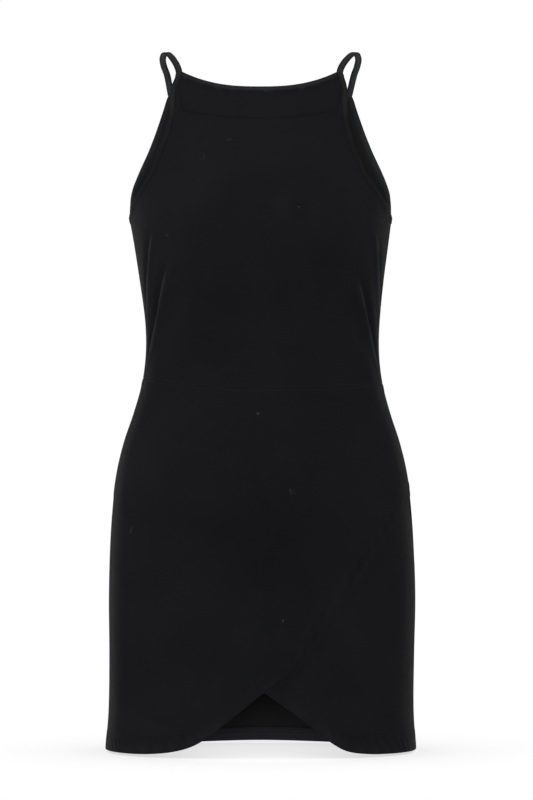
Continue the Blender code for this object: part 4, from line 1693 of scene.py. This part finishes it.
@dataclass
class TulipSkirt:
    """The skirt: two front layers that wrap over each other in a curve, and the back."""

    form: Form
    cut: Cut
    cloth: Cloth
    material: bpy.types.Material
    lining: bpy.types.Material
    under_inset: float = 0.0020
    front_stem: float = 0.0020
    overlay_edge: tuple[EdgeRow, ...] = table(
        EdgeRow,
        # angle, z
        (-90.0, -0.7746), (-62.0, -0.7746), (-50.0, -0.7744), (-41.0, -0.7732), (-33.0, -0.7704),
        (-26.0, -0.7648), (-20.0, -0.7550), (-11.0, -0.7335), (1.0, -0.7045), (11.0, -0.6820),
        (22.0, -0.6350), (31.0, -0.5970), (39.0, -0.5710), (50.0, -0.5370), (65.0, -0.5080),
        (90.0, -0.4900),
    )
    overlay_hem: tuple[HemRow, ...] = table(
        HemRow,
        # angle, depth, pucker
        (-90.0, 0.0215, 0.00022),
        (-60.0, 0.0215, 0.00030),
        (-36.0, 0.0210, 0.00032),
        (-16.0, 0.0150, 0.00038),
        (1.0, 0.0135, 0.00042),
        (20.0, 0.0130, 0.00038),
        (50.0, 0.0135, 0.00030),
        (90.0, 0.0140, 0.00020),
    )
    underlay_edge: tuple[EdgeRow, ...] = table(
        EdgeRow,
        # angle, z
        (-90.0, -0.4900), (-60.0, -0.5180), (-40.0, -0.5680), (-22.0, -0.6300), (-10.0, -0.6800),
        (1.0, -0.7045), (12.5, -0.7285), (21.0, -0.7480), (26.0, -0.7600), (32.0, -0.7694),
        (41.0, -0.7734), (52.0, -0.7744), (65.0, -0.7746), (90.0, -0.7746),
    )
    underlay_hem: tuple[HemRow, ...] = table(
        HemRow,
        # angle, depth, pucker
        (-90.0, 0.0140, 0.00012),
        (-20.0, 0.0130, 0.00014),
        (1.0, 0.0135, 0.00030),
        (18.0, 0.0150, 0.00034),
        (36.0, 0.0205, 0.00028),
        (60.0, 0.0215, 0.00026),
        (90.0, 0.0215, 0.00020),
    )
    back_edge: tuple[EdgeRow, ...] = table(
        EdgeRow,
        # angle, z
        (-90.0, -0.7746), (-58.0, -0.7750), (-31.0, -0.7763), (0.0, -0.7748), (31.0, -0.7763),
        (58.0, -0.7750), (90.0, -0.7746),
    )
    back_hem: tuple[HemRow, ...] = table(
        HemRow,
        # angle, depth, pucker
        (-90.0, 0.0150, 0.00020),
        (0.0, 0.0138, 0.00024),
        (90.0, 0.0150, 0.00020),
    )

    def __post_init__(self) -> None:
        """Lays out the three layers, and what lies over and under each."""
        front, back = ((half, self.form, self.cut, self.cloth) for half in Half)
        self.overlay = SkirtLayer(
            "front_skirt_overlay", *front, self.overlay_edge, self.overlay_hem,
            pucker_length=0.0105, phase=0.4, stem=self.front_stem,
        )
        self.underlay = SkirtLayer(
            "front_skirt_underlay", *front, self.underlay_edge, self.underlay_hem,
            pucker_length=0.0116, phase=2.1, stem=self.cloth.seam_stem, sunk=self.under_inset,
        )
        self.back = SkirtLayer(
            "back_skirt", *back, self.back_edge, self.back_hem,
            pucker_length=0.0123, phase=1.2, stem=self.cloth.seam_stem,
        )
        self.overlay.below, self.underlay.above = self.underlay, self.overlay

    def layers(self) -> tuple[SkirtLayer, ...]:
        """The three layers, in the order in which they are sewn on."""
        return self.overlay, self.underlay, self.back

    def build(self) -> None:
        """Builds the three layers and fits them to the frame."""
        sizes = ((0.490, 0.450, 0.182), (0.490, 0.450, 0.182), (0.492, 0.450, 0.205))
        for layer, (width, length, area) in zip(self.layers(), sizes):
            points, tone = layer.points()
            piece = add_piece(
                f"{layer.name}_cloth", points, self.material, wall=self.cloth.wall, tone=tone,
                lining=self.lining, lining_tone=layer.lining_tone(points[..., 2]),
            )
            fit(piece, layer.name)


# ---------------------------------------- trim


@dataclass(frozen=True)
class StrapPoint:
    """A point on the middle line of the strap on the wearer's left, from the front corner to the back one."""

    x: float
    y: float
    z: float
    shift: float = 0.0


@dataclass(frozen=True)
class Strip:
    """A strip's middle line and how it lies: across it towards its fold, and through it outwards."""

    points: Array
    across: Array
    through: Array
    lengths: Array
    over: Array


@dataclass
class Trim:
    """The narrow folded bindings of the neckline and the armholes, which run on as the straps."""

    form: Form
    cut: Cut
    cloth: Cloth
    bodice: Bodice
    material: bpy.types.Material
    cut_width: float = 0.0150
    middle_depth: float = 0.0006
    proud: float = 0.0011
    under: float = 0.0012
    neck_fullness: float = 0.0002
    slot_top: float = 0.00056
    slot_low: float = -0.00018
    neck_slot_low: float = -0.00072
    slot_reach: float = 0.0008
    row_breadth: float = 0.0007
    low_row: float = 0.0016
    high_row: float = 0.0017
    stitch_sink: float = 0.00015
    rib_pitch: float = 0.0023
    rib_height: float = 0.00009
    step: float = 0.00075
    end_slant: float = 0.01
    route: tuple[StrapPoint, ...] = table(
        StrapPoint,
        # x, y, z, shift
        (0.0889, -0.0462, -0.0225, -0.0011),
        (0.0924, -0.0375, -0.0134, -0.0009),
        (0.0982, -0.0245, -0.0047, -0.0004),
        (0.1032, -0.0090, 0.0008),
        (0.1064, 0.0015, 0.0024),
        (0.1087, 0.0115, 0.0008),
        (0.1100, 0.0260, -0.0034),
        (0.1087, 0.0400, -0.0103),
        (0.1054, 0.0530, -0.0193),
    )
    shoulder_axis: Triple = (0.0, 0.0120, -0.0550)
    twist_length: float = 0.0105
    strap_spread: float = 0.17
    # The neck binding is painted lighter in its middle: a painted highlight.
    neck_tone: float = 0.94
    neck_middle_light: float = 0.24
    # The strips' runs are painted lighter or darker by how light falls on them: painted light and shade.
    front_tone: float = 0.50
    front_top_tone: float = 0.90
    back_tone: float = 1.05
    strap_tone: float = 1.12
    inner_light: float = 0.9
    strap_inner_light: float = 1.9
    edge_dark: float = 0.40
    strap_edges: float = 1.6
    low_flatness: float = 0.8

    def section(self, neck: bool) -> tuple[Array, Array]:
        """The outline of a binding's section.

        Args:
            neck: Whether it is the neckline's.

        Returns:
            How far each point lies across it, and through it.
        """
        half = 0.5 * (self.cut.neck_binding_width if neck else self.cut.binding_width)
        low = self.neck_slot_low if neck else self.slot_low
        under = self.under + (self.neck_fullness if neck else 0.0)
        return closed_fold(half, self.proud, under, self.slot_top, low, self.slot_reach)

    def ridged(self, across: Array, through: Array, lengths: Array, half: float) -> Array:
        """Presses the strip's two rows of stitches and its cross ribs into its section.

        Args:
            across: How far each point of the outline lies across the strip.
            through: How far it lies through the strip.
            lengths: The place of each outline along the strip.
            half: Half the strip's width.

        Returns:
            How far through the strip each point lies, over the outlines and their points.
        """
        low, high = across + half - self.low_row, across - half + self.high_row
        rows = bell(low, self.row_breadth) + bell(high, self.row_breadth)
        flat = smooth_step(0.0007, 0.0010, np.abs(through))
        valley = -self.stitch_sink * rows * flat * np.sign(through)
        rib = np.cos(2.0 * np.pi * lengths / self.rib_pitch + 0.5 * wave(lengths, 0.031))
        swell = 0.00008 * wave(lengths, 0.019) + 0.00006 * wave(lengths, 0.047, 1.0)
        ribs = (self.rib_height * rib + swell)[:, None] * (flat * np.sign(through))[None]
        return (through + valley)[None] + ribs

    def neck_strip(self, half: Half) -> bpy.types.Object:
        """Builds the binding along a neckline.

        Args:
            half: The front or the back.

        Returns:
            The strip.
        """
        width = self.cut.neck_binding_width
        fine = np.linspace(-1.0, 1.0, 401)
        turn, z = self.bodice.neck_edge(fine, half)
        lengths = run_lengths(self.form.lay(half.centre + turn, z), 0)
        along = np.linspace(0.0, lengths[-1], int(lengths[-1] / self.step) + 1)
        turn, z = self.bodice.neck_edge(np.interp(along, lengths, fine), half)
        across, through = self.section(neck=True)
        share = 0.5 + across / width
        turned = half.centre + turn[:, None] * (1.0 - self.end_slant * share)[None]
        height = z[:, None] + self.cut.binding_gap + width * share[None]
        relief = self.ridged(across, through, along, 0.5 * width)
        skin = self.form.lay(turned, height, self.middle_depth - relief)
        pattern = strip_pattern(along, across, through)
        # Painted highlight across the middle of the neck binding, and painted shade at its edges.
        middle = self.neck_tone * (1.0 + self.neck_middle_light * bell(along - 0.5 * lengths[-1], 0.030))
        tone = middle[:, None] * self.edge_shade(across, 0.5 * width, 0.0007)[None]
        name = f"{half.value}_neck_binding_strip"
        return add_piece(name, skin, self.material, pattern, weld=True, cap=True, tone=tone)

    def edge_shade(self, across: Array, half: float, breadth: float = 0.0014) -> Array:
        """How a strip is painted darker towards its two edges: painted shade where its cloth turns over."""
        return 1.0 - self.edge_dark * smooth_step(half - breadth, half - 0.0001, np.abs(across))

    def strip(self, side: Side) -> Strip:
        """Works out how the strip of one side lies, all round the armhole and over the shoulder.

        Args:
            side: The wearer's side.

        Returns:
            The strip, evenly stepped.
        """
        offset = self.cut.binding_gap + 0.5 * self.cut.binding_width
        runs, normals = [], []
        for half in (Half.FRONT, Half.BACK):
            top, _ = self.bodice.corner(half)
            under = self.cut.underarm_z
            levels = merged(under + (top - under) * spaced(0.0, 1.0, 0.012) ** 1.8)
            points, out, off = self.bodice.edge_run(side, half, levels)
            line = points - self.middle_depth * out + offset * off
            runs.append(line if half is Half.FRONT else line[::-1])
            normals.append(out if half is Half.FRONT else out[::-1])
        over = self.over_shoulder(runs[0], runs[1], side)
        axis = np.array(self.shoulder_axis)
        over_out = unit((over - axis) * np.array([0.0, 1.0, 1.0]))
        line = np.concatenate([runs[0], over, runs[1][:-1]])
        out = np.concatenate([normals[0], over_out, normals[1][:-1]])
        free = np.concatenate([np.zeros(len(runs[0])), np.ones(len(over)), np.zeros(len(runs[1]) - 1)])
        line, out, free = (np.concatenate([part, part[:1]]) for part in (line, out, free))
        lengths = run_lengths(line, 0)
        count = int(lengths[-1] / self.step)
        at = np.linspace(0.0, lengths[-1], count + 1)
        points = read_along(at, lengths, line)[:-1]
        outward = unit(read_along(at, lengths, out))[:-1]
        over_share = np.interp(at, lengths, free)[:-1]
        points = self.eased(points, np.ones(count), 0.0016)
        outward = unit(self.eased(outward, over_share, self.twist_length))
        ahead = unit(np.roll(points, -1, axis=0) - np.roll(points, 1, axis=0))
        across = side.value * unit(np.cross(ahead, outward))
        through = side.value * unit(np.cross(across, ahead))
        close = [np.concatenate([part, part[:1]]) for part in (points, across, through)]
        return Strip(close[0], close[1], close[2], at, np.append(over_share, over_share[0]))

    def eased(self, vectors: Array, share: Array, reach: float) -> Array:
        """Eases the bends of a closed row of vectors.

        Args:
            vectors: The vectors.
            share: How strongly each is drawn towards its neighbours.
            reach: How far along the strip the easing is felt.

        Returns:
            The eased vectors.
        """
        rounds = max(int(2.0 * (reach / self.step) ** 2), 1)
        weight = 0.5 * np.clip(share, 0.0, 1.0)[:, None]
        for _ in range(rounds):
            middle = 0.5 * (np.roll(vectors, 1, axis=0) + np.roll(vectors, -1, axis=0))
            vectors = vectors + weight * (middle - vectors)
        return vectors

    def over_shoulder(self, front: Array, back: Array, side: Side) -> Array:
        """The strap's middle line over the shoulder.

        Args:
            front: The line along the armhole's front half.
            back: That along its back half.
            side: The wearer's side.

        Returns:
            The points between the two, without their ends.
        """
        knots = [np.array([side.value * point.x + point.shift, point.y, point.z]) for point in self.route]
        knots = [front[-1], *knots, back[0]]
        knots = np.array([2.0 * knots[0] - knots[1], *knots, 2.0 * knots[-1] - knots[-2]])
        fine = []
        share = np.linspace(0.0, 1.0, 24, endpoint=False)[:, None]
        for a, b, c, d in zip(knots, knots[1:], knots[2:], knots[3:]):
            curve = 2.0 * b + (c - a) * share + (2.0 * a - 5.0 * b + 4.0 * c - d) * share**2
            fine.append(0.5 * (curve + (3.0 * b - a - 3.0 * c + d) * share**3))
        return np.concatenate(fine)[1:]

    def strap(self, side: Side) -> bpy.types.Object:
        """Builds the strip that binds one armhole and runs over the shoulder as its strap.

        Args:
            side: The wearer's side.

        Returns:
            The strip.
        """
        strip = self.strip(side)
        across, through = self.section(neck=False)
        skin = self.ridged(across, through, strip.lengths, 0.5 * self.cut.binding_width)
        skin[-1] = skin[0]
        spread = 1.0 + self.strap_spread * strip.over
        points = strip.points[:, None] + (spread[:, None] * across[None])[..., None] * strip.across[:, None]
        points = points + skin[..., None] * strip.through[:, None]
        pattern = strip_pattern(strip.lengths, across, through)
        name = f"{side.name.lower()}_strap_and_armhole_strip"
        _, y, z = strip.points.T
        # Painted light and shade: the front run darker, the back run and the strap lighter, their inner side
        # behind lighter still, and painted shade at the edges, weaker low down.
        behind = smooth_step(-0.012, 0.012, y)
        front = blend(self.front_tone, self.front_top_tone, smooth_step(-0.085, -0.055, z))
        tone = blend(blend(front, self.back_tone, behind), self.strap_tone, strip.over)
        light = behind * blend(self.inner_light, self.strap_inner_light, strip.over)
        shade = tone[:, None] * (1.0 + light[:, None] * (through < 0.0)[None])
        edges = self.edge_shade(across, 0.5 * self.cut.binding_width)[None]
        edges = edges ** (1.0 + self.strap_edges * strip.over)[:, None]
        flat = self.low_flatness * (1.0 - smooth_step(-0.100, -0.060, z))
        shade = shade * blend(edges, 1.0, flat[:, None])
        return add_piece(name, points, self.material, pattern, weld=True, tone=shade)

    def build(self) -> None:
        """Builds the four strips and fits them to the frame."""
        rows = (
            (self.neck_strip(Half.FRONT), "front_neck_binding", 0.187),
            (self.neck_strip(Half.BACK), "back_neck_binding", 0.197),
            (self.strap(Side.LEFT), "left_strap_and_armhole_binding", 0.545),
            (self.strap(Side.RIGHT), "right_strap_and_armhole_binding", 0.545),
        )
        for piece, node, length in rows:
            fit(piece, node)


# ---------------------------------------- sewing


@dataclass
class Stitching:
    """The rows of stitches that hold the hems and the bindings."""

    bodice: Bodice
    skirt: TulipSkirt
    trim: Trim
    material: bpy.types.Material
    hem_stitch: float = 0.0030
    binding_stitch: float = 0.0026
    lift: float = 0.00004
    thread: float = 0.00016
    inner_thread: float = 0.00020

    def hem_rows(self, layer: SkirtLayer) -> bpy.types.Object:
        """Builds the two rows of stitches on the outside of a hem, and the rows that show inside it.

        Args:
            layer: The hem's layer.

        Returns:
            The stitches as one piece.
        """
        parts = []
        faces = ((0.0, 1.0, self.thread), (self.skirt.cloth.hem_depth, -1.0, self.inner_thread))
        for row in layer.stitch_rows():
            for sink, way, radius in faces:
                points, normals = layer.stitch_line(row, sink)
                line, out = points + way * self.lift * normals, way * normals
                parts.append(thread_run("row", line, out, self.material, self.hem_stitch, radius))
        return join_pieces(f"{layer.name}_hem_stitches", parts)

    def strap_rows(self, side: Side) -> bpy.types.Object:
        """Builds the two rows of stitches on the face of one side's strip, and one inside it.

        Args:
            side: The wearer's side.

        Returns:
            The stitches as one piece.
        """
        strip, parts = self.trim.strip(side), []
        half = 0.5 * self.trim.cut.binding_width
        low, high = -half + self.trim.low_row, half - self.trim.high_row
        for across, face in ((low, 1), (high, 1), (low, -1)):
            height = (self.trim.proud if face > 0 else -self.trim.under) - face * self.trim.stitch_sink
            shift = across * (1.0 + self.trim.strap_spread * strip.over)
            rise = (height + face * self.lift) * strip.through
            points, out = strip.points + shift[:, None] * strip.across + rise, face * strip.through
            parts.append(thread_run("row", points, out, self.material, self.binding_stitch, self.thread))
        return join_pieces(f"{side.name.lower()}_strap_stitches", parts)

    def neck_rows(self, half: Half) -> bpy.types.Object:
        """Builds the two rows of stitches on the face of a neck binding.

        Args:
            half: The front or the back.

        Returns:
            The stitches as one piece.
        """
        cut, form, parts = self.trim.cut, self.trim.form, []
        turn, edge_z = self.bodice.neck_edge(np.linspace(-0.995, 0.995, 500), half)
        depth = self.trim.middle_depth - self.trim.proud + self.trim.stitch_sink - self.lift
        for across in (self.trim.low_row, cut.neck_binding_width - self.trim.high_row):
            angle = half.centre + turn * (1.0 - self.trim.end_slant * across / cut.neck_binding_width)
            z = edge_z + cut.binding_gap + across
            line, out = form.lay(angle, z, depth), form.normal(angle, z)
            parts.append(thread_run("row", line, out, self.material, self.binding_stitch, self.thread))
        return join_pieces(f"{half.value}_neck_stitches", parts)

    def build(self) -> None:
        """Builds every row of stitches and fits them to the frame."""
        for layer in self.skirt.layers():
            fit(self.hem_rows(layer))
        for side in Side:
            fit(self.strap_rows(side))
        for half in Half:
            fit(self.neck_rows(half))


# ---------------------------------------- lint


@dataclass(frozen=True)
class Speck:
    """A little fluff on the front: its place, its fibres' number, length and slant, and how pale it is."""

    angle: float
    z: float
    fibres: int
    length: float
    lean: float
    pale: float


@dataclass
class Lint:
    """The few specks of pale fluff that have settled on the front of the dress."""

    bodice: Bodice
    skirt: TulipSkirt
    material: bpy.types.Material
    seed: int = 11
    radius: float = 0.00016
    stray: float = 0.0007
    arch_height: float = 0.0005
    specks: tuple[Speck, ...] = table(
        Speck,
        # angle, z, fibres, length, lean, pale
        (-1.7, -0.4006, 4, 0.0036, 10.0, 0.56),
        (-12.3, -0.1003, 3, 0.0070, 25.0, 0.20),
        (-23.6, -0.1189, 3, 0.0095, 92.0, 0.12),
        (16.0, -0.1757, 2, 0.0060, -20.0, 0.26),
        (-43.5, -0.2040, 2, 0.0060, 5.0, 0.24),
        (11.5, -0.4857, 3, 0.0100, 115.0, 0.26),
        (-55.2, -0.5283, 3, 0.0080, 70.0, 0.28),
        (7.7, -0.6262, 3, 0.0042, 95.0, 0.50),
    )

    def fibre(self, speck: Speck, random: np.random.Generator) -> bpy.types.Object:
        """Builds one curved fibre that lies on the cloth.

        Args:
            speck: The speck that it belongs to.
            random: Where its own bend, turn and place come from.

        Returns:
            The object.
        """
        s = np.linspace(-0.5, 0.5, 9)
        arch = 1.0 - 4.0 * s**2
        length = speck.length * random.uniform(0.7, 1.1)
        turn = math.radians(speck.lean + random.uniform(-28.0, 28.0))
        bow = random.uniform(-0.30, 0.30) * arch
        along, aside = length * s, length * bow
        x = along * math.cos(turn) - aside * math.sin(turn) + random.uniform(-self.stray, self.stray)
        up = along * math.sin(turn) + aside * math.cos(turn) + random.uniform(-self.stray, self.stray)
        rate = self.bodice.form.arc_rate(np.array([speck.angle]), np.array([speck.z]))
        angle, z = speck.angle + x / rate, speck.z + up
        lift = 1.1 * self.radius + self.arch_height * arch * random.uniform(0.0, 1.0)
        if speck.z > self.bodice.cut.waist_front_z:
            line = self.bodice.face(angle, z, Half.FRONT, -lift)
        else:
            line = self.skirt.overlay.face(angle, z, -lift)
        out = self.bodice.form.normal(angle, z)
        thin = self.radius * (1.0 - 0.6 * (2.0 * s) ** 4)
        skin = line[:, None] + thin[:, None, None] * rings(line, out)
        pale = np.full(skin.shape[:2], speck.pale)
        return add_piece("fibre", skin, self.material, weld=True, cap=True, tone=pale)

    def build(self) -> None:
        """Builds the fluff on the bodice and that on the skirt, and fits both to the frame."""
        random = np.random.default_rng(self.seed)
        waist = self.bodice.cut.waist_front_z
        for part, above in (("bodice", True), ("skirt", False)):
            specks = [speck for speck in self.specks if (speck.z > waist) is above]
            fibres = [self.fibre(speck, random) for speck in specks for _ in range(speck.fibres)]
            fit(join_pieces(f"{part}_lint", fibres))


# ---------------------------------------- studio


@dataclass(frozen=True)
class Softbox:
    """A large soft lamp."""

    name: str
    place: Triple
    aim: Triple
    width: float
    height: float
    power: float


@dataclass
class Studio:
    """A plain pale floor, soft light and the camera."""

    floor_z: float = -0.7776
    camera_place: Triple = (0.0067, -4.6, -0.3853)
    lens: float = 185.2
    sensor: float = 36.0
    air_light: float = 0.15
    sky_light: float = 1.4
    sky_spread: float = 60.0
    lamps: tuple[Softbox, ...] = (
        Softbox("front_light", (-0.2, -4.3, -0.35), (0.0, 0.0, -0.45), 0.8, 0.8, 40.0),
        Softbox("left_light", (-2.1, -1.0, 1.5), (0.0, 0.0, -0.40), 1.0, 1.2, 30.0),
        Softbox("right_light", (2.1, -1.0, 1.5), (0.0, 0.0, -0.40), 1.0, 1.2, 17.0),
    )

    def build_floor(self) -> None:
        """Lays the floor."""
        x, y = weave(np.linspace(-14.0, 14.0, 9), np.linspace(-9.0, 30.0, 13))
        points = np.stack([x, y, np.full_like(x, self.floor_z)], axis=-1)
        add_piece("floor", points, FloorFinish().material())

    def build_light(self) -> None:
        """Lights the scene from all round, with three soft lamps."""
        world = bpy.data.worlds.new("studio_air")
        world.use_nodes = True
        nodes, links = world.node_tree.nodes, world.node_tree.links
        nodes["Background"].inputs["Color"].default_value = (1.0, 1.0, 1.0, 1.0)
        level = nodes.new("ShaderNodeMapRange")
        level.inputs["To Min"].default_value, level.inputs["To Max"].default_value = self.air_light, 1.0
        links.new(nodes.new("ShaderNodeLightPath").outputs["Is Camera Ray"], level.inputs["Value"])
        links.new(level.outputs["Result"], nodes["Background"].inputs["Strength"])
        bpy.context.scene.world = world
        for lamp in self.lamps:
            data = bpy.data.lights.new(lamp.name, "AREA")
            data.shape, data.size, data.size_y, data.energy = "RECTANGLE", lamp.width, lamp.height, lamp.power
            holder = bpy.data.objects.new(lamp.name, data)
            look = (Vector(lamp.aim) - Vector(lamp.place)).to_track_quat("-Z", "Y")
            holder.matrix_world = Matrix.Translation(lamp.place) @ look.to_matrix().to_4x4()
            bpy.context.scene.collection.objects.link(holder)
        sky = bpy.data.lights.new("sky_light", "SUN")
        sky.energy, sky.angle = self.sky_light, math.radians(self.sky_spread)
        bpy.context.scene.collection.objects.link(bpy.data.objects.new("sky_light", sky))

    def build_camera(self) -> None:
        """Sets up the camera, level with the middle of the dress."""
        data = bpy.data.cameras.new("camera")
        data.sensor_fit, data.sensor_width, data.lens = "AUTO", self.sensor, self.lens
        data.clip_end = 100.0
        camera = bpy.data.objects.new("camera", data)
        camera.location = self.camera_place
        camera.rotation_euler = (0.5 * math.pi, 0.0, 0.0)
        bpy.context.scene.collection.objects.link(camera)
        bpy.context.scene.camera = camera

    def build(self) -> None:
        """Builds the whole studio."""
        self.build_floor()
        self.build_light()
        self.build_camera()
        bpy.context.scene.view_settings.view_transform = "Standard"


def main() -> None:
    """Builds the dress over its frame, and the studio round it."""
    logging.basicConfig(level=logging.INFO, format="%(message)s")
    form, cut, cloth = Form(), Cut(), Cloth()
    jersey = JerseyFinish("black_jersey").material()
    facing = JerseyFinish("facing_jersey", colour=(0.0098, 0.0101, 0.0108), unevenness=0.10).material()
    # The wrong side's colour is made lighter than the right side's: painted light for the light that reaches
    # inside the dress.
    purl = JerseyFinish("jersey_wrong_side", Face.WRONG, colour=(0.0172, 0.0175, 0.0190)).material()
    bodice = Bodice(form, cut, cloth, jersey, purl, facing)
    skirt = TulipSkirt(form, cut, cloth, jersey, purl)
    trim = Trim(form, cut, cloth, bodice, BindingFinish("jersey_binding").material())
    stitching = Stitching(bodice, skirt, trim, ThreadFinish("black_thread").material())
    lint = Lint(bodice, skirt, FibreFinish("pale_fluff").material())
    for part in (bodice, skirt, trim, stitching, lint):
        part.build()
    Studio().build()


if __name__ == "__main__":
    main()
